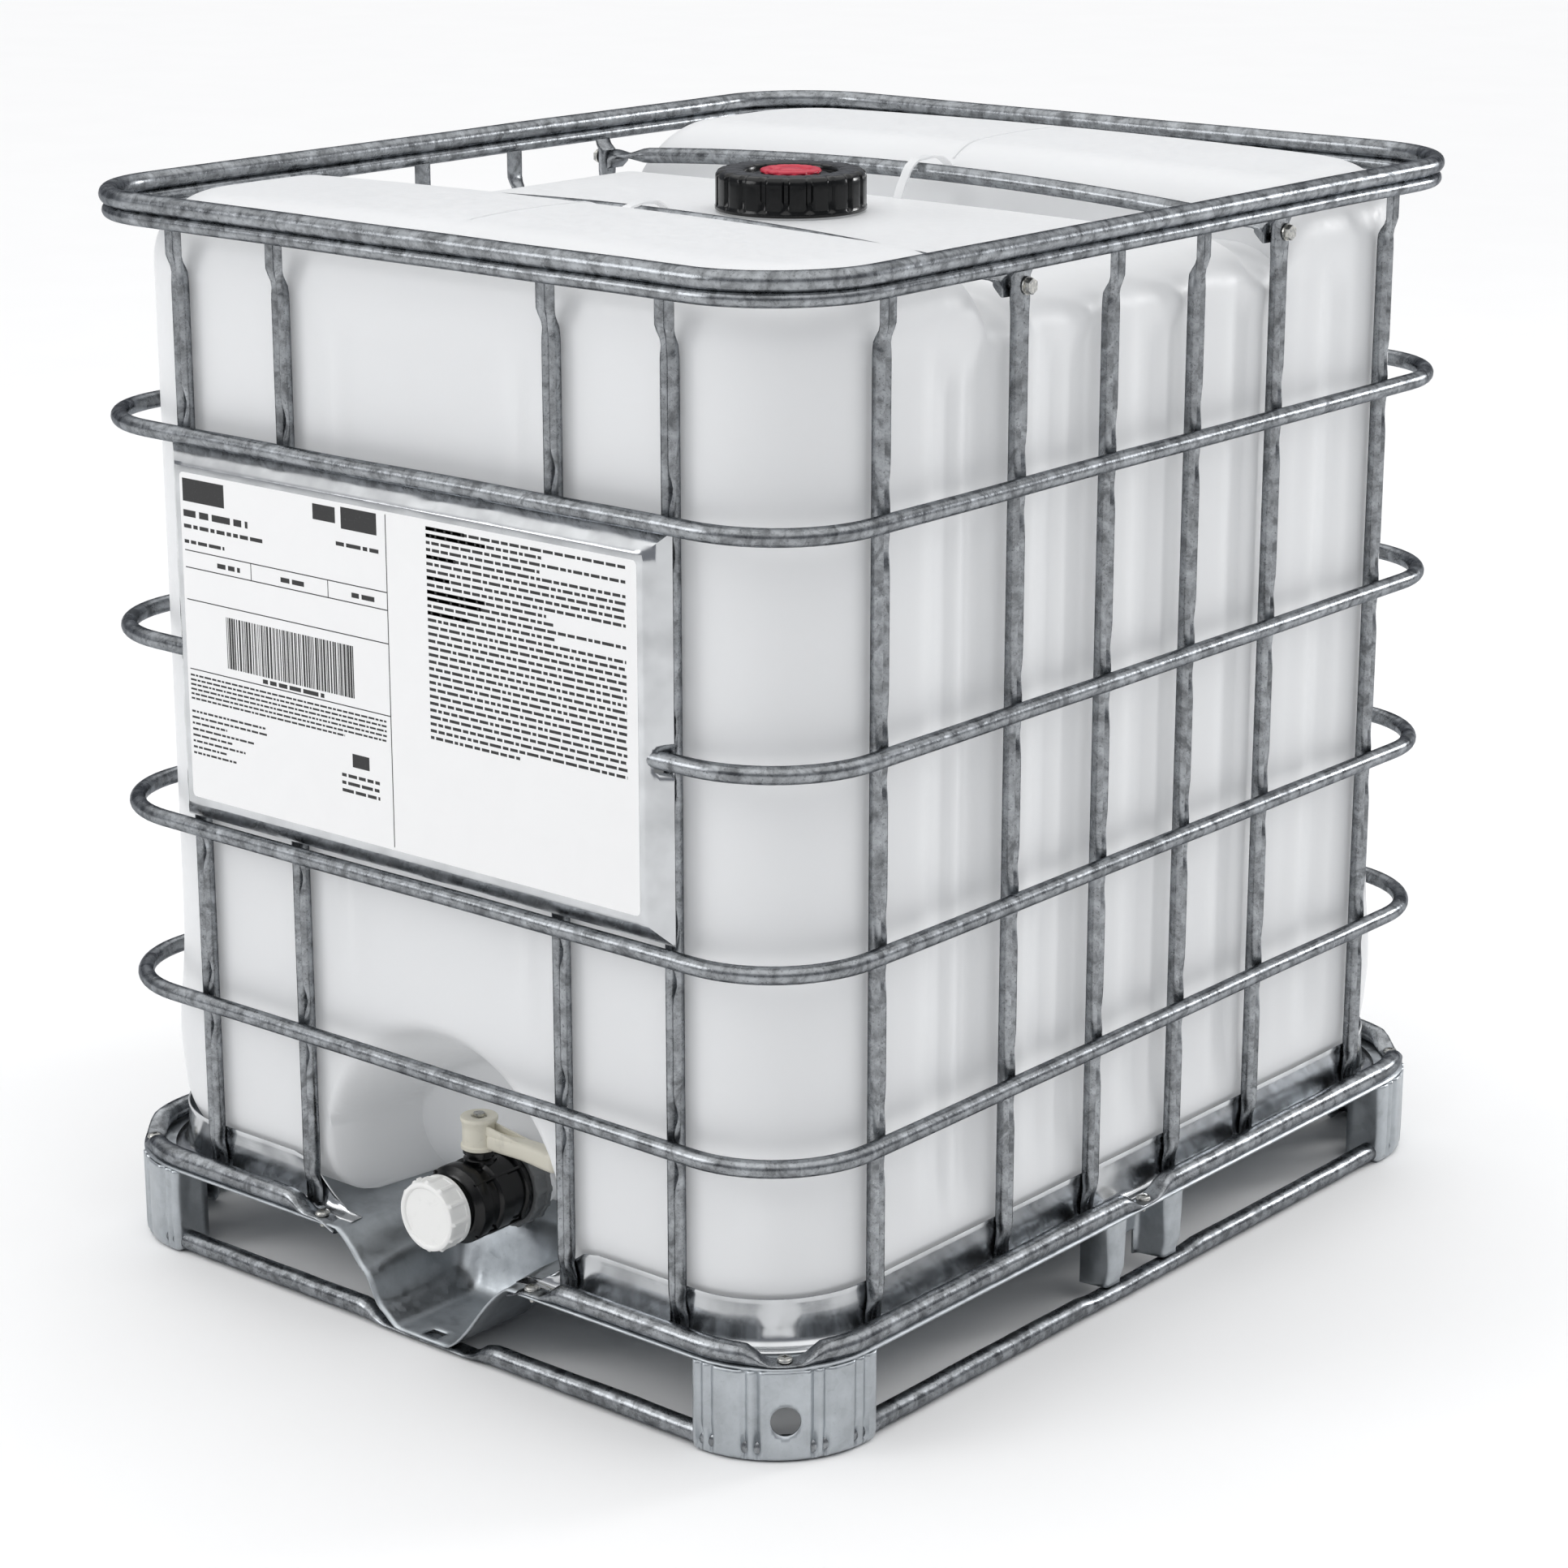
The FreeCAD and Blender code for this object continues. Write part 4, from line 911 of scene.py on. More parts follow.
class BULK_OT_pallet_tubes(BuildStep, bpy.types.Operator):
    """Build the pallet's upper tube with its pressed seats, and the bottom tube"""
    bl_idname = "bulk.pallet_tubes"
    bl_label = "Pallet tubes"

    def build(self):
        self.upper()
        self.lower()

    @staticmethod
    def upper():
        end, side = RAIL_HALF_X - RAIL_CORNER, RAIL_HALF_Y - RAIL_CORNER
        bm = bmesh.new()
        start = Matrix.Translation((CUT_END, -RAIL_HALF_Y, RAIL_LEVEL)) @ Matrix.Rotation(QUARTER, 4, "Y")
        legs = (((end - CUT_END, 0, 0), end, -side), ((0, 2 * side, 0), end, side),
                ((-2 * end, 0, 0), -end, side), ((0, -2 * side, 0), -end, -side))
        edges = carry(bm, hoop(bm, RAIL_RADIUS, 28, start), legs, 9, 24)
        run(bm, edges, (end - CUT_END, 0, 0), round((end - CUT_END) / 9))
        fill_ends(bm)
        places = screw_places()
        for vert in bm.verts:
            x, y, z = vert.co
            press = 1 - ramp(min(math.hypot(x - px, y - py) for px, py in places), 15, 40)
            if y < -560:
                press = max(press, 1 - ramp(abs(x), 168, 196))
            sink = 9 * ramp(-abs(x), -150, -124)
            z = DECK_LEVEL + (z - DECK_LEVEL) * (1 - 0.775 * press) + 0.8 * noise.noise(vert.co / 60)
            if y < -560:
                z -= sink
            vert.co.z = max(DECK_LEVEL + 0.2 - sink, z)
        outward(bm)
        finish_tube("pressed_pallet_tube", bm, "pallet_top_ring")

    @staticmethod
    def lower():
        bm = bmesh.new()
        section = hoop(bm, SKID_RADIUS, 26, lying(SKID_HALF_X, 0, SKID_LEVEL))
        closed_loop(bm, section, SKID_HALF_X, SKID_HALF_Y, SKID_CORNER, 12, 20)
        for vert in bm.verts:
            x, y, z = vert.co
            front = 1 - ramp(abs(x), 60, 92) if y < -560 else 0.0
            side = 1 - ramp(abs(y), 82, 112) if abs(x) > 460 else 0.0
            rear = 1 - ramp(abs(x), 82, 112) if y > 560 else 0.0
            z = 2 + (z - 2) * (1 - 0.73 * front - 0.16 * max(side, rear))
            vert.co.z = max(1.0, z + 0.9 * noise.noise(vert.co / 45 + Vector((7, 3, 1))))
        outward(bm)
        finish_tube("skid_tube", bm, "skid_ring")


DECK_ACROSS = ((0, 0), (38, 7), (113, 18), (160, 9), (498, 16))
DECK_ALONG = ((0, 0), (400, 12), (430, 4), (480, 11), (598, 15))
DECK_GRID_X, DECK_GRID_Y = 50, 42
# the bright rim's section: how far it stands outside the tank's line, and its levels
RIM_HALF_X, RIM_HALF_Y, RIM_CORNER, RIM_TOP, RIM_GAP = 462.5, 562.3, 122, 151, 128
RIM_SECTION = ((17, 100.6), (10, 101.2), (5.5, 104), (3.2, 110), (2.2, 121), (1.4, 134), (0.9, 145),
               (1.6, 149), (1.0, 151), (-0.4, 150.4), (-0.8, 147))


def deck_level(x, y):
    """The pressed deck: flat, with a flared drain channel running out to the front."""
    out = -y
    flare = 10 * ramp(out, 520, 598)
    wall = min(1.0, max(0.0, (abs(x) - 36) / (78 + flare)))
    channel = 10 + 89 * (0.45 * wall + 0.55 * wall * wall * (3 - 2 * wall))
    step = 5.5 * bell(x, -78, 7) - 4 * bell(x, -62, 8) + 7 * bell(x, 86, 15) * bell(out, 545, 34)
    step += 3 * bell(x, 50, 9) * bell(out, 560, 26)
    channel += step * ramp(wall, 0.1, 0.3) * (1 - ramp(wall, 0.9, 1.0))
    return mix(DECK_LEVEL, channel, ramp(out, 434, 486) * (1 - ramp(abs(x), 113 + flare, 126 + flare)))


class BULK_OT_deck(BuildStep, bpy.types.Operator):
    """Build the pressed deck with its drain channel and the bright rim round the tank"""
    bl_idname = "bulk.deck"
    bl_label = "Deck pan"

    def build(self):
        bm = bmesh.new()
        bmesh.ops.create_grid(bm, x_segments=2 * DECK_GRID_X, y_segments=2 * DECK_GRID_Y, size=1.0)
        for vert in bm.verts:
            x = math.copysign(grid_line(DECK_ACROSS, abs(vert.co.x) * DECK_GRID_X), vert.co.x)
            y = math.copysign(grid_line(DECK_ALONG, abs(vert.co.y) * DECK_GRID_Y), vert.co.y)
            x, y = round_corner(x, y, DECK_HALF_X - DECK_CORNER, DECK_HALF_Y - DECK_CORNER)
            vert.co = Vector((x, y, deck_level(x, y)))
        # the short slot in the channel's floor
        cut_away(bm, lambda spot: abs(spot.x - 6) < 9 and abs(spot.y + 583) < 5)
        outward(bm)
        if sum(face.normal.z for face in bm.faces) < 0:
            bmesh.ops.reverse_faces(bm, faces=bm.faces[:])
        finish_sheet("pressed_deck", bm, 2, "deck_pan")
        self.rim()

    @staticmethod
    def rim():
        """The rim: one strip of sheet from the flange up to a small hem, broken at the drain channel."""
        bm = bmesh.new()
        section = chain(bm, [(RIM_HALF_X + across, 0, level) for across, level in RIM_SECTION])
        closed_loop(bm, section, RIM_HALF_X, RIM_HALF_Y, RIM_CORNER, 20, 24)
        for vert in bm.verts:
            if vert.co.y < -500:
                taper = ramp(abs(vert.co.x), RIM_GAP, 215)
                vert.co.z = DECK_LEVEL + 0.8 + (vert.co.z - DECK_LEVEL - 0.8) * taper
            if vert.co.z >= 104:
                vert.co.z = min(RIM_TOP, vert.co.z + 0.7 * noise.noise(vert.co / 70))
        cut_away(bm, lambda spot: spot.y < -500 and abs(spot.x) < RIM_GAP)
        face_out(bm)
        finish_piece("bright_rim", bm, "bright_rolled_sheet", "container",
                     sharp=60, thickness=1)


FOOT_HOLE, FOOT_HOLE_LEVEL = 15.5, 44
# the middle of a corner foot's curve, and the radius that its flutes are laid out on
FOOT_X, FOOT_Y, FOOT_CURVE = 380, 480, 120
FOOT_TOP = 96.8


def flute(reach, z):
    """Depth of the foot's pressing at a distance from its middle, measured round the curve."""
    low = 1 - ramp(z, 6, 40)
    depth = 2.2 * (1 - ramp(reach, 18, 23))
    for centre, width, deep in ((29, 3.4, 4.2), (42, 3.6, 4.0), (79, 3.6, 4.2), (91, 3.6, 3.6)):
        depth += (deep + 4.5 * low) * bell(reach, centre, width)
    return depth * ramp(z, 3, 10)


def corner_foot_mesh():
    """The foot in the +X +Y corner: a sheet carried round the corner, fluted, with a round hole."""
    bm = bmesh.new()
    levels = [FOOT_TOP, 93] + [89 - 3.8 * count for count in range(21)] + [6.2, 2.8, 0.8]
    insets = [0.0] * 23 + [0.9, 3.2, 7.0]
    section = chain(bm, [(371 + inset, 556, level) for inset, level in zip(insets, levels)])
    edges = run(bm, section, (0, 36, 0), 4)
    edges = turn(bm, edges, (379, 592, 0), UP, -QUARTER, 5)
    edges = run(bm, edges, (1, 0, 0))
    edges = turn(bm, edges, (FOOT_X, FOOT_Y, 0), UP, -QUARTER, 104)
    edges = run(bm, edges, (0, -8, 0))
    edges = turn(bm, edges, (492, 472, 0), UP, -QUARTER, 5)
    run(bm, edges, (-36, 0, 0), 4)
    centre = Vector((FOOT_X, FOOT_Y, 0))
    places = {}
    for vert in bm.verts:
        x, y, z = vert.co
        if x > FOOT_X and y > FOOT_Y:
            arm = Vector((x - FOOT_X, y - FOOT_Y, 0))
            places[vert] = (polar(arm)[1] - math.pi / 4) * FOOT_CURVE
            vert.co -= arm.normalized() * flute(abs(places[vert]), z)
        elif x < 378 and y > 560:
            vert.co.x += 5 * bell(z, 60, 24) * bell(y, 578, 12)
        elif y < 474 and x > 460:
            vert.co.y += 4 * bell(z, 46, 26) * bell(x, 478, 12)
    inside = {vert for vert, reach in places.items()
              if math.hypot(reach, vert.co.z - FOOT_HOLE_LEVEL) < FOOT_HOLE + 0.6}
    doomed = [face for face in bm.faces if any(vert in inside for vert in face.verts)]
    bmesh.ops.delete(bm, geom=doomed, context="FACES")
    for vert in bm.verts:
        reach = places.get(vert)
        if reach is None or not vert.is_boundary or not 20 < vert.co.z < 70:
            continue
        away = math.hypot(reach, vert.co.z - FOOT_HOLE_LEVEL)
        if away > 26:
            continue
        length, _ = polar(vert.co - centre)
        angle = math.pi / 4 + reach * FOOT_HOLE / away / FOOT_CURVE
        spot = centre + Vector((math.cos(angle), math.sin(angle), 0)) * length
        vert.co = Vector((spot.x, spot.y, FOOT_HOLE_LEVEL + (vert.co.z - FOOT_HOLE_LEVEL) * FOOT_HOLE / away))
    return bm


class BULK_OT_feet(BuildStep, bpy.types.Operator):
    """Build the four fluted corner feet and the three strap feet"""
    bl_idname = "bulk.feet"
    bl_label = "Feet"

    def build(self):
        for end, sign_y in (("front", -1), ("rear", 1)):
            for side, sign_x in (("left", -1), ("right", 1)):
                bm = corner_foot_mesh()
                bmesh.ops.scale(bm, vec=(sign_x, sign_y, 1), verts=bm.verts)
                face_out(bm)
                finish_sheet(f"fluted_foot_{end}_{side}", bm, 2.5, f"corner_foot_{end}_{side}")
        for node, half, angle in (("side_foot_right", 500, 0), ("side_foot_left", 500, 180),
                                  ("rear_foot", 600, 90)):
            bm = self.strap(half)
            bmesh.ops.rotate(bm, cent=(0, 0, 0), matrix=Matrix.Rotation(math.radians(angle), 3, "Z"),
                             verts=bm.verts)
            face_out(bm)
            finish_sheet(f"strap_{node}", bm, 2.5, node)

    @staticmethod
    def strap(half):
        """Two legs with a web between them, pressed from one strip that wraps the bottom tube."""
        face, web = half - 4.5, half - 42
        bm = bmesh.new()
        plan = ((web, -70), (face, -70), (face, -35), (web, -35),
                (web, 35), (face, 35), (face, 70), (web, 70))
        edges = chain(bm, [(x, y, FOOT_TOP) for x, y in plan])
        run(bm, edges, (0, 0, -74), 18)
        uprights = [edge for edge in bm.edges if span(edge).z > 1 and not edge.is_boundary]
        bmesh.ops.bevel(bm, geom=uprights, offset=6.5, affect="EDGES", segments=4, profile=0.5, material=-1)
        cut_away(bm, lambda spot: abs(spot.y) < 27 and spot.z < 50)
        for vert in bm.verts:
            x, y, z = vert.co
            low = 1 - ramp(z, 24, 97)
            if x > web + 12:
                leg = math.copysign(52.5, y)
                y = leg + (y - leg) * (1 - 0.22 * low)
                x -= 2.6 * bell(y, leg, 5) * ramp(x, face - 6, face - 1) * ramp(z, 30, 44)
                x -= 5 * ramp(-z, -44, -24)
            vert.co = Vector((x, y, z))
        return bm


class BULK_OT_screws(BuildStep, bpy.types.Operator):
    """Build the nine pan-head pallet screws"""
    bl_idname = "bulk.screws"
    bl_label = "Pallet screws"

    def build(self):
        bm = bmesh.new()
        for number, (x, y) in enumerate(screw_places()):
            screw = bmesh.new()
            lathe(screw, [(0, 90), (2.2, 90), (3, 91), (3, 104), (8, 104), (8, 105.2), (7.1, 107),
                          (5, 107.8), (3.1, 108), (2.8, 106.4), (0, 106.2)], 24, closed=False)
            for vert in screw.verts:
                reach, angle = polar(vert.co)
                if 2 < reach < 3.4 and vert.co.z > 106:
                    vert.co.xy *= 1.25 - 0.6 * abs(math.sin(2 * angle))
            spin = Matrix.Rotation(number * 1.1, 4, "Z")
            absorb(bm, screw, Matrix.Translation((x, y, 0)) @ spin)
        finish_piece("pan_head_screws", bm, "zinc_plated_steel", "container",
                     ["pallet_screws"], sharp=50)


# ---------------------------------------------------------------- label
PLATE_HALF, PLATE_LOW, PLATE_HIGH, PLATE_FACE = 320, 530, 888, 599.7
PLATE_HEIGHT, PLATE_MIDDLE = PLATE_HIGH - PLATE_LOW, (PLATE_LOW + PLATE_HIGH) / 2
# the sloping flanges' section: how far out from the face's edge, and how far back from it
FLANGE = ((1.6, 0.5), (4, 2.4), (8, 5.6), (12, 9), (16, 12.4), (20, 15.6), (22.6, 17.8), (22.2, 19.2))
LABEL_FACE = 600


class BULK_OT_label_plate(BuildStep, bpy.types.Operator):
    """Build the label plate: a flat face with four sloping, dented flanges"""
    bl_idname = "bulk.label_plate"
    bl_label = "Label plate"

    def build(self):
        bm = bmesh.new()
        front = lying(0, -PLATE_FACE, PLATE_MIDDLE)
        bmesh.ops.create_grid(bm, x_segments=64, y_segments=36, size=0.5, matrix=front)
        for vert in bm.verts:
            vert.co.x *= PLATE_HALF * 2
            vert.co.z = PLATE_MIDDLE + (vert.co.z - PLATE_MIDDLE) * PLATE_HEIGHT
        edges = [edge for edge in bm.edges if edge.is_boundary]
        for out, back in FLANGE:
            moved, edges = drawn_out(bm, edges)
            for vert in moved:
                x, z = vert.co.x, vert.co.z
                vert.co.y = back - PLATE_FACE
                if abs(x) >= PLATE_HALF - 0.01:
                    vert.co.x = math.copysign(PLATE_HALF + out, x)
                if abs(z - PLATE_MIDDLE) >= PLATE_HEIGHT / 2 - 0.01:
                    vert.co.z = PLATE_MIDDLE + math.copysign(PLATE_HEIGHT / 2 + out, z - PLATE_MIDDLE)
        for vert in bm.verts:
            vert.co.y = self.dented(*vert.co)
        # the side flanges open where the second ring passes through
        cut_away(bm, lambda spot: abs(spot.x) > PLATE_HALF + 9 and abs(spot.z - RING_LEVELS[1]) < 12)
        face_out(bm)
        finish_piece("dented_label_plate", bm, "bright_rolled_sheet", "container",
                     ["label_plate"], sharp=50, thickness=0.8)

    @staticmethod
    def dented(x, y, z):
        """Handling dents on the flanges; the flat face stays true under the label."""
        flange = ramp(y, 1 - PLATE_FACE, 7 - PLATE_FACE) * (1 - ramp(y, -585, -581))
        dent = noise.noise(Vector((x / 50, 0, z / 30))) * 1.8 + noise.noise(Vector((x / 20, 3, z / 16))) * 0.6
        return min(-580.5, max(-PLATE_FACE, y + dent * flange))


def ink_bar(bm, left, right, low, high):
    """One printed bar on the label's face."""
    depth = 0.07
    rounded_block(bm, (right - left, depth, high - low),
                  ((left + right) / 2, depth / 2 - LABEL_FACE, (low + high) / 2), 0)


def ink_line_of_words(bm, dice, left, right, level, height):
    """A greeked line: bars of random length, like words too small to read."""
    place = left
    while place < right:
        word = dice.uniform(1.4, 5.2) * height
        ink_bar(bm, place, min(place + word, right), level, level + height)
        place += word + height * 0.75


class BULK_OT_label(BuildStep, bpy.types.Operator):
    """Build the label: coated paper and a generic print of rules, stripes and greeked lines"""
    bl_idname = "bulk.label"
    bl_label = "Label"

    def build(self):
        low, high = low_mm("label_sheet"), high_mm("label_sheet")
        bm = bmesh.new()
        made = bmesh.ops.create_cube(bm, size=1.0)["verts"]
        bmesh.ops.scale(bm, vec=(high.x - low.x, 0.2, high.z - low.z), verts=made)
        bmesh.ops.translate(bm, vec=(0, (low.y + high.y) / 2, (low.z + high.z) / 2), verts=made)
        corners = [edge for edge in bm.edges if span(edge).y > 0.1]
        bmesh.ops.bevel(bm, geom=corners, offset=5, affect="EDGES", segments=4, profile=0.5, material=-1)
        outward(bm)
        finish_piece("paper_label", bm, "coated_label_paper", "container", ["label_sheet"])
        self.print_label(low, high)

    @staticmethod
    def print_label(low, high):
        dice = random.Random(7)
        bm = bmesh.new()
        left, right, divider = low.x + 4, high.x - 4, -16
        ink_bar(bm, divider, divider + 1.1, low.z + 3, high.z - 3)
        for level in (800, 782, 748, 674):
            ink_bar(bm, left, divider, level, level + 1.1)
        for place in (-212, -100):
            ink_bar(bm, place, place + 1, 782, 800)
        ink_bar(bm, left, left + 62, 852, 876)
        ink_bar(bm, -78, divider - 12, 856, 878)
        ink_bar(bm, -118, -86, 860, 876)
        ink_line_of_words(bm, dice, left, left + 96, 836, 7)
        ink_line_of_words(bm, dice, left, left + 120, 824, 4)
        ink_line_of_words(bm, dice, left, left + 60, 808, 3.6)
        ink_line_of_words(bm, dice, divider - 70, divider - 10, 838, 4)
        for place in (-262, -168, -66):
            ink_line_of_words(bm, dice, place, place + 34, 788, 5)
        place = -252
        while place < -66:
            width = dice.choice((0.9, 0.9, 1.5, 2.1, 2.8))
            ink_bar(bm, place, place + width, 684, 738)
            place += width + dice.choice((0.8, 0.8, 1.3, 1.9))
        ink_line_of_words(bm, dice, -200, -110, 677, 4.4)
        for row in range(6):
            ink_line_of_words(bm, dice, left, divider - 6 - 60 * (row == 5), 667 - 5 * row, 2.0)
        for row in range(8):
            ink_line_of_words(bm, dice, left, left + dice.uniform(50, 118), 628 - 6.4 * row, 2.2)
        ink_bar(bm, -72, -48, 612, 626)
        for row in range(3):
            ink_line_of_words(bm, dice, -88, -34, 600 - 8 * row, 3.4)
        for row in range(31):
            short = dice.uniform(0.3, 0.75) if row in (1, 3, 9, 10, 12, 30) else 1.0
            ink_line_of_words(bm, dice, 40, 40 + (right - 50) * short, 872 - 7.0 * row, 3.0)
        for row in (0, 1, 4, 7, 9, 10, 12):
            ink_bar(bm, 40, 40 + dice.uniform(30, 90), 871.6 - 7.0 * row, 875.4 - 7.0 * row)
        finish_piece("label_print", bm, "thermal_print", "container")


# ---------------------------------------------------------------- lid
LID_RADIUS, LID_LOW, LID_TOP, LID_LUGS = 81.5, 1114, 1156, 20


class BULK_OT_lid(BuildStep, bpy.types.Operator):
    """Build the fluted screw lid and the vent plug"""
    bl_idname = "bulk.lid"
    bl_label = "Lid"

    def build(self):
        bm = bmesh.new()
        lathe(bm, [(27, 1145), (75, 1145), (75, LID_LOW + 0.6), (75.8, LID_LOW), (80.6, LID_LOW),
                   (LID_RADIUS, LID_LOW + 0.9), (LID_RADIUS, LID_LOW + 4), (80.9, LID_LOW + 5), (80.9, 1122),
                   (80.9, 1132), (80.9, 1142), (80.9, 1148), (80.4, 1151.6), (78.6, 1154.4), (75.6, LID_TOP), (70, LID_TOP),
                   (60, LID_TOP), (53.5, LID_TOP), (51.2, 1155.2), (50.2, 1153.4), (50, 1150.6), (49, 1150),
                   (42, 1150), (41, 1150.9), (39, 1150.9), (38, 1150), (27, 1150)], 240)
        for vert in bm.verts:
            self.flute(vert)
        outward(bm)
        finish_piece("fluted_lid", bm, "black_moulded_polypropylene", "screw_lid", ["lid"],
                     sharp=48)
        plug = bmesh.new()
        lathe(plug, [(0, 1137), (26.4, 1137), (26.4, 1153), (32.4, 1153), (33, 1153.6), (33, 1154.8),
                     (31.8, 1156.2), (29, 1157), (24.5, 1157), (23, 1156), (21.5, 1154.2), (14, 1154),
                     (12.6, 1155.2), (10.6, 1156.6), (5, 1156.9), (0, 1157)], 96, closed=False)
        for vert in plug.verts:
            reach, angle = polar(vert.co)
            if reach > 28 and vert.co.z > 1153.2:
                vert.co.xy *= 1 - 0.07 * bell((angle / math.tau * 12) % 1.0, 0.5, 0.16)
            if 12 < reach < 25 and 1153.5 < vert.co.z < 1156.4:
                vert.co.z = mix(vert.co.z, 1156.8, bell(reach * math.sin(angle), 0, 3.4))
        outward(plug)
        finish_piece("red_vent_plug", plug, "red_moulded_polyethylene", "vent", ["vent_plug"],
                     sharp=48)

    @staticmethod
    def flute(vert):
        """Presses the gaps between the lugs of the skirt, and shallow notches in the rim above them."""
        z = vert.co.z
        reach, angle = polar(vert.co)
        phase = (angle / math.tau * LID_LUGS) % 1.0
        gap = ramp(abs(phase - 0.5), 0.32, 0.40)
        if reach > 80 and z > LID_LOW + 4.5:
            vert.co.xy *= 1 - 3.0 / reach * gap * ramp(z, LID_LOW + 4, LID_LOW + 7)
        elif reach > 74 and z > 1150:
            vert.co.xy *= 1 - 2.4 / reach * gap
            vert.co.z -= 1.2 * gap
        elif 52.9 < reach < 54.5 and z > 1154:
            vert.co.z -= 0.5 * gap


# ---------------------------------------------------------------- outlet valve
LEVER_ALONG, ARM_LEVEL = -505, 204.5


class BULK_OT_valve(BuildStep, bpy.types.Operator):
    """Build the outlet valve: union nut, body, lever and dust cap"""
    bl_idname = "bulk.valve"
    bl_label = "Outlet valve"

    def build(self):
        self.union()
        self.body()
        self.lever()
        self.cap()

    @staticmethod
    def union():
        bm = bmesh.new()
        lathe(bm, [(36.6, 446), (45.5, 446), (46.4, 447), (46.4, 452), (44.6, 453), (44.6, 463), (46.4, 464),
                   (46.4, 468.5), (45.5, 469.5), (36.6, 469.5)], 160)
        for vert in bm.verts:
            reach, angle = polar(vert.co)
            if reach > 43:
                vert.co.xy *= 1 + 0.034 * ramp(math.cos(angle * 16), 0.2, 0.6)
        outward(bm)
        bmesh.ops.transform(bm, matrix=on_valve_axis(), verts=bm.verts)
        finish_piece("ribbed_union_nut", bm, "grey_moulded_polypropylene", "container",
                     ["union_nut"])

    @staticmethod
    def body():
        bm = bmesh.new()
        ridges = []
        for count in range(7):
            for radius, rise in ((32.2, 0), (33.6, 0.5), (33.6, 1.1), (32.2, 1.6)):
                height = 549 + count * 1.9 + rise
                ridges.append((30.6 if height > 557 else radius, height))
        lathe(bm, [(25, 463), (36, 463), (36, 470), (41.6, 470), (42.5, 471), (42.5, 477), (41, 478),
                   (38.5, 479), (38.5, 494), (40.6, 496), (42.3, 497), (42.3, 513), (41.4, 514), (38, 516), (36.5, 520),
                   (36.5, 526), (38.6, 527.5), (41.6, 528), (42.4, 529), (42.4, 541), (41.4, 542.5),
                   (38, 544), (36, 547), *ridges, (29.2, 563), (29.2, 579), (28.4, 580), (25.8, 580), (25, 579)], 96)
        thread(bm, 29.0, 1.0, 564.5, 6, 2.0, 3.4)
        bmesh.ops.transform(bm, matrix=on_valve_axis(), verts=bm.verts)
        boss = bmesh.new()
        lathe(boss, [(7.1, 165), (17.5, 165), (17.5, 182), (15.2, 184), (15.2, 187), (18, 188), (18, 191.4),
                     (17.4, 192), (7.1, 192)], 48)
        absorb(bm, boss, Matrix.Translation((0, LEVER_ALONG, 0)))
        for angle in (0, 90, 180, 270):
            rib = bmesh.new()
            rounded_block(rib, (3, 70, 3.2), (0, -509, 41.4), 0.8, 2)
            bmesh.ops.rotate(rib, cent=(0, 0, 0), matrix=Matrix.Rotation(math.radians(45 + angle), 3, "Y"),
                             verts=rib.verts)
            absorb(bm, rib, Matrix.Translation((0, 0, VALVE_LEVEL)))
        outward(bm)
        finish_piece("ridged_valve_body", bm, "black_moulded_polypropylene", "container",
                     ["valve_body"], sharp=38)

    @staticmethod
    def lever():
        bm = bmesh.new()
        lathe(bm, [(2.5, 193), (19.2, 193), (20, 193.8), (20, 197), (18.4, 198.4), (18, 214), (18.6, 222),
                   (19.8, 224), (19.8, 227), (19, 228), (9, 228), (8, 227.2), (7.4, 225.5), (2.5, 225.5)], 64)
        bmesh.ops.translate(bm, vec=(0, LEVER_ALONG, 0), verts=bm.verts)
        arm = bmesh.new()
        rounded_block(arm, (100, 22, 21), (65, LEVER_ALONG, ARM_LEVEL), 6.5, 5)
        bmesh.ops.subdivide_edges(arm, edges=[edge for edge in arm.edges if span(edge).x > 60], cuts=14,
                                  use_grid_fill=False)
        for vert in arm.verts:
            x, y, z = vert.co
            share = ramp(x, 30, 112)
            vert.co.y = mix(LEVER_ALONG, y, mix(0.8, 1.08, share))
            vert.co.z = mix(ARM_LEVEL, z, mix(0.9, 1.05, share)) + 1.6 * math.sin(share * math.pi)
        absorb(bm, arm)
        for side in (-1, 1):
            web = bmesh.new()
            rounded_block(web, (60, 2.4, 11), (44, LEVER_ALONG + side * 6.5, 217), 1.0, 2)
            for vert in web.verts:
                vert.co.z = min(vert.co.z, mix(223, 214, ramp(vert.co.x, 20, 74)))
            absorb(bm, web)
        outward(bm)
        finish_piece("cream_lever", bm, "cream_moulded_nylon", "valve_lever_set",
                     ["valve_lever"])

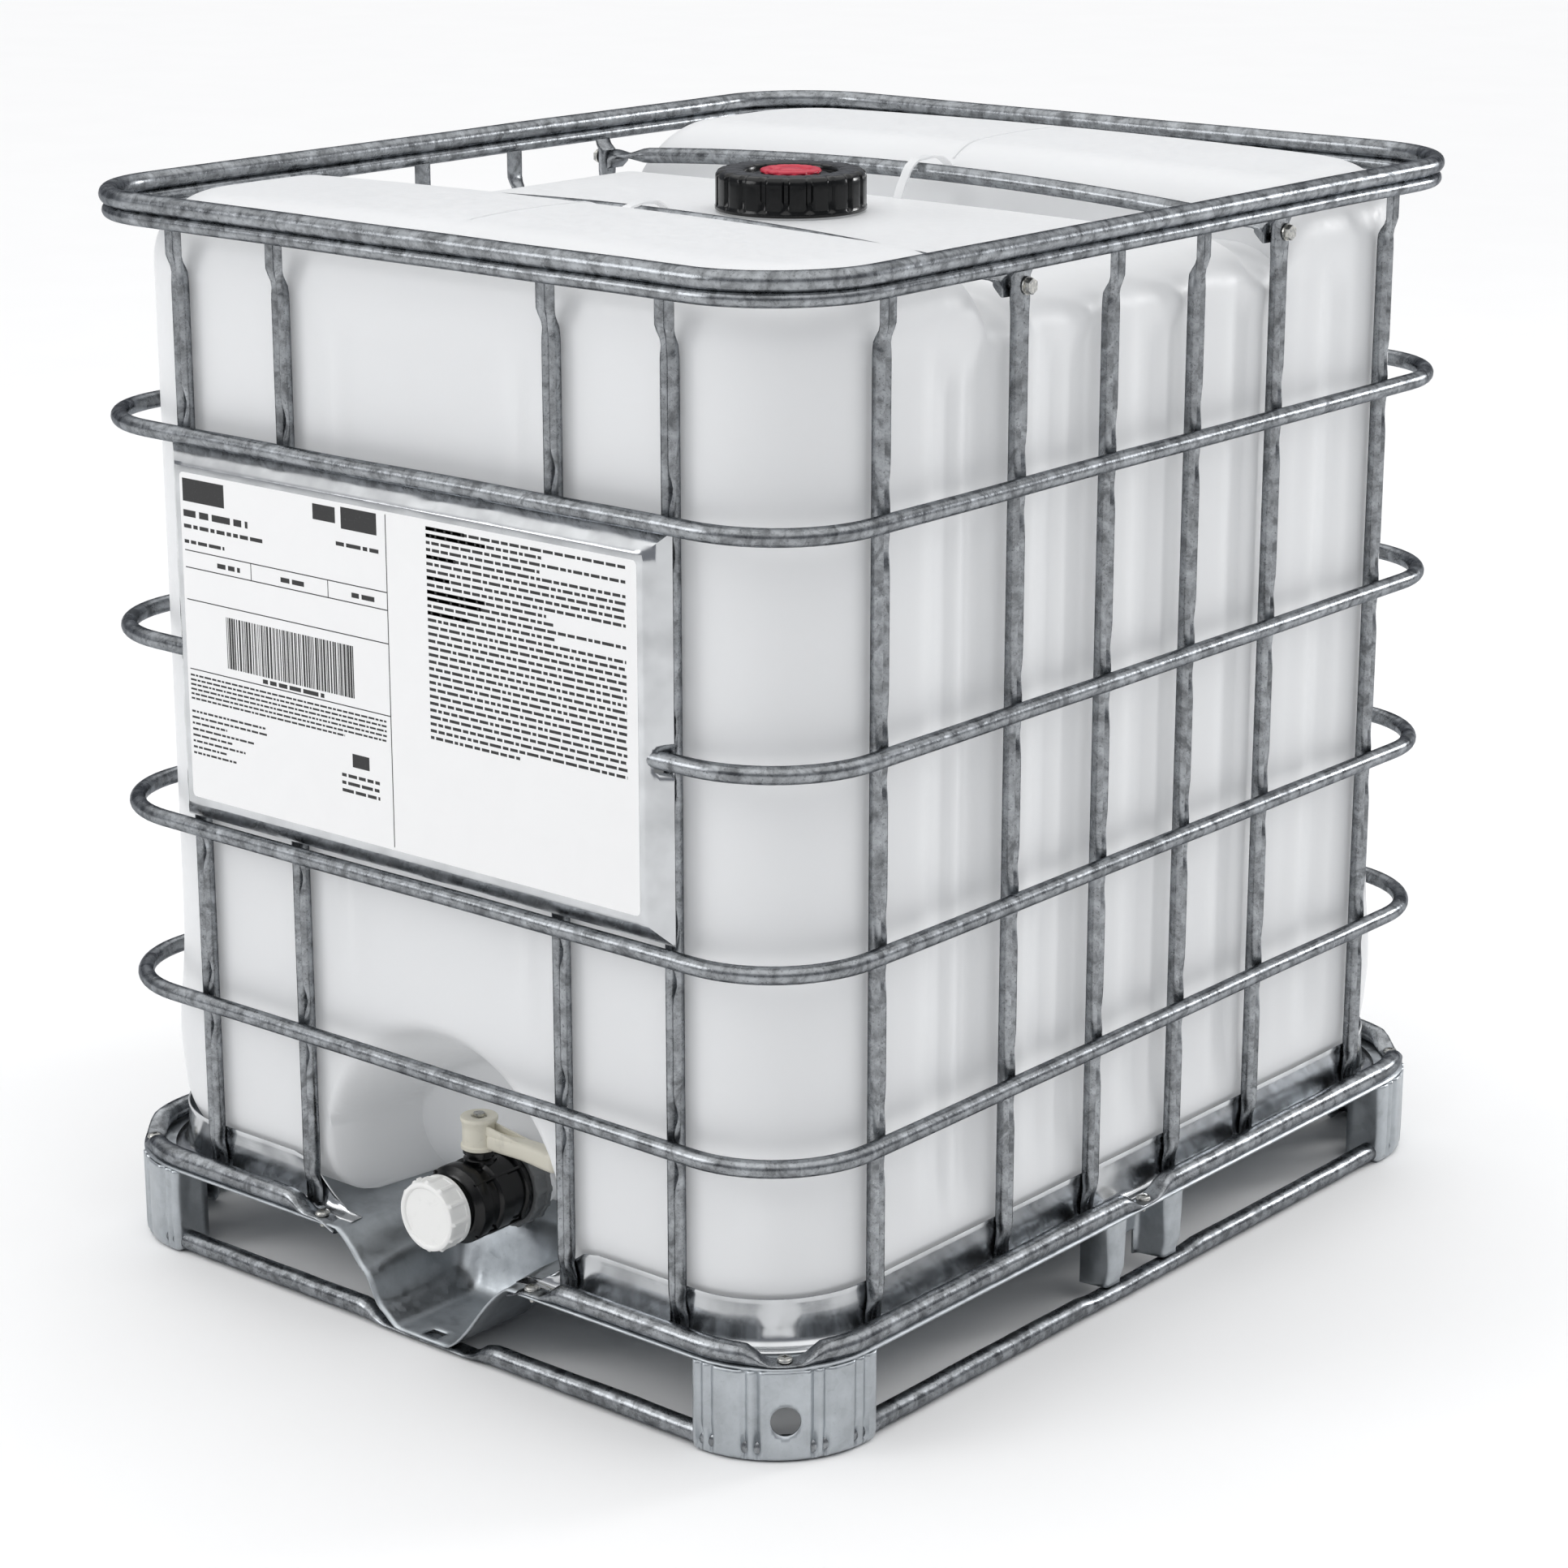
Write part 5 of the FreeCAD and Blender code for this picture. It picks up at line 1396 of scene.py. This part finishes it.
    @staticmethod
    def cap():
        bm = bmesh.new()
        lathe(bm, [(31.5, 558), (36.8, 558), (37.6, 558.8), (37.6, 563), (36.6, 564), (36.6, 579),
                   (37.4, 583), (36.8, 585.8), (35, 587), (32.4, 587), (31.4, 586.2), (30.8, 584.6), (0, 584.4)], 192,
              closed=False)
        inner = bmesh.new()
        lathe(inner, [(31.5, 558), (31.5, 583), (0, 583)], 96, closed=False)
        for vert in bm.verts:
            reach, angle = polar(vert.co)
            if reach > 35.5 and 563 < vert.co.z < 585:
                vert.co.xy *= 1 + 0.055 * ramp(math.cos(angle * 12), 0.62, 0.86)
        outward(bm)
        absorb(bm, inner)
        for number in range(4):
            lug = bmesh.new()
            rounded_block(lug, (5, 4, 7), (39.4, 0, 566.5), 1.0, 2)
            for vert in lug.verts:
                if vert.co.x > 40:
                    vert.co.y *= 0.35
            absorb(bm, lug, Matrix.Rotation(math.radians(135 + number * 30), 4, "Z"))
        weld(bm)
        bmesh.ops.transform(bm, matrix=on_valve_axis(), verts=bm.verts)
        finish_piece("ribbed_dust_cap", bm, "white_moulded_polyethylene", "outlet_cap",
                     ["dust_cap"])


# ---------------------------------------------------------------- carried-over nodes
class BULK_OT_small_parts(BuildStep, bpy.types.Operator):
    """Give the seals, fasteners, disc and stem their finishes"""
    bl_idname = "bulk.small_parts"
    bl_label = "Seals and fasteners"

    def build(self):
        finishes = {
            "epdm_rubber": ("lid_gasket", "vent_seal", "valve_gasket", "stem_seal", "outlet_seal"),
            "zinc_plated_steel": ("bar_bolts", "bar_washers", "bar_nuts", "lever_screw", "valve_stem"),
            "black_moulded_polypropylene": ("valve_disc",),
        }
        for finish, nodes in finishes.items():
            for node in nodes:
                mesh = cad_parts[node].data
                mesh.materials.clear()
                mesh.materials.append(finish_of(finish))


# ---------------------------------------------------------------- stage
class BULK_OT_stage(BuildStep, bpy.types.Operator):
    """Build the pale floor, the soft studio lights and the camera"""
    bl_idname = "bulk.stage"
    bl_label = "Stage"

    def build(self):
        scene = bpy.context.scene
        scene.view_settings.view_transform = "Standard"
        bm = bmesh.new()
        bmesh.ops.create_grid(bm, x_segments=2, y_segments=2, size=40)
        mesh = bpy.data.meshes.new("floor")
        bm.to_mesh(mesh)
        bm.free()
        mesh.materials.append(finish_of("painted_floor"))
        floor = bpy.data.objects.new("floor", mesh)
        scene.collection.objects.link(floor)
        self.sky(scene)
        self.lamp("key_softbox", (-2.4, -4.2, 2.6), (0, 0, 0.6), 2.2, 50)
        self.lamp("raking_softbox", (2.4, 4.6, 2.0), (0.4, 0, 0.6), 1.2, 70)
        self.camera(scene)

    @staticmethod
    def sky(scene):
        """A bright studio ceiling above grey walls, which give the metal its dark edges."""
        world = bpy.data.worlds.new("studio")
        world.use_nodes = True
        tree = world.node_tree
        place = add_node(tree, "ShaderNodeTexCoord").outputs["Generated"]
        height = add_node(tree, "ShaderNodeSeparateXYZ", {}, {0: place}).outputs["Z"]
        tone = two_tone(tree, spread(tree, height, 0.42, 0.66), solid("#74767b"),
                        solid("#ffffff"))
        tree.links.new(tone, tree.nodes["Background"].inputs["Color"])
        tree.nodes["Background"].inputs["Strength"].default_value = 1.42
        scene.world = world

    @staticmethod
    def lamp(name, place, target, width, power):
        light = bpy.data.lights.new(name, "AREA")
        light.shape = "DISK"
        light.size = width
        light.energy = power
        lamp = bpy.data.objects.new(name, light)
        lamp.location = place
        lamp.rotation_euler = (Vector(target) - Vector(place)).to_track_quat("-Z", "Y").to_euler()
        bpy.context.scene.collection.objects.link(lamp)

    @staticmethod
    def camera(scene):
        """The camera stands off the front right corner, a little above the tank."""
        yaw, pitch = math.radians(39.87), math.radians(16.45)
        camera = bpy.data.cameras.new("camera")
        camera.sensor_width = 36
        camera.lens = 89.0
        camera.clip_end = 100
        view = bpy.data.objects.new("camera", camera)
        view.location = (2.654, -3.189, 1.697)
        view.rotation_euler = (QUARTER - pitch, 0, yaw)
        scene.collection.objects.link(view)
        scene.camera = view


STEPS = (BULK_OT_stage, BULK_OT_tank, BULK_OT_rings, BULK_OT_rail, BULK_OT_uprights, BULK_OT_cross_bars,
         BULK_OT_pallet_tubes, BULK_OT_deck, BULK_OT_feet, BULK_OT_screws, BULK_OT_label_plate,
         BULK_OT_label, BULK_OT_lid, BULK_OT_valve, BULK_OT_small_parts)


class BULK_PT_panel(bpy.types.Panel):
    """Lists the container's building steps, sizes and colours"""
    bl_idname = "BULK_PT_panel"
    bl_label = "Bulk container"
    bl_space_type = "VIEW_3D"
    bl_region_type = "UI"
    bl_category = "Bulk container"

    def draw(self, context):
        layout = self.layout
        for step in STEPS:
            layout.operator(step.bl_idname, text=step.bl_label)
        for group in (context.scene.bulk_container_sizes, context.scene.bulk_container_colours):
            box = layout.box()
            for field in group.__annotations__:
                box.prop(group, field)


CLASSES = (BulkContainerSizes, BulkContainerColours, *STEPS, BULK_PT_panel)


def register():
    for item in CLASSES:
        bpy.utils.register_class(item)
    bpy.types.Scene.bulk_container_sizes = bpy.props.PointerProperty(type=BulkContainerSizes)
    bpy.types.Scene.bulk_container_colours = bpy.props.PointerProperty(type=BulkContainerColours)


def unregister():
    del bpy.types.Scene.bulk_container_colours
    del bpy.types.Scene.bulk_container_sizes
    for item in reversed(CLASSES):
        bpy.utils.unregister_class(item)


def main():
    register()
    for step in STEPS:
        group, name = step.bl_idname.split(".")
        getattr(getattr(bpy.ops, group), name)()


if __name__ == "__main__":
    main()
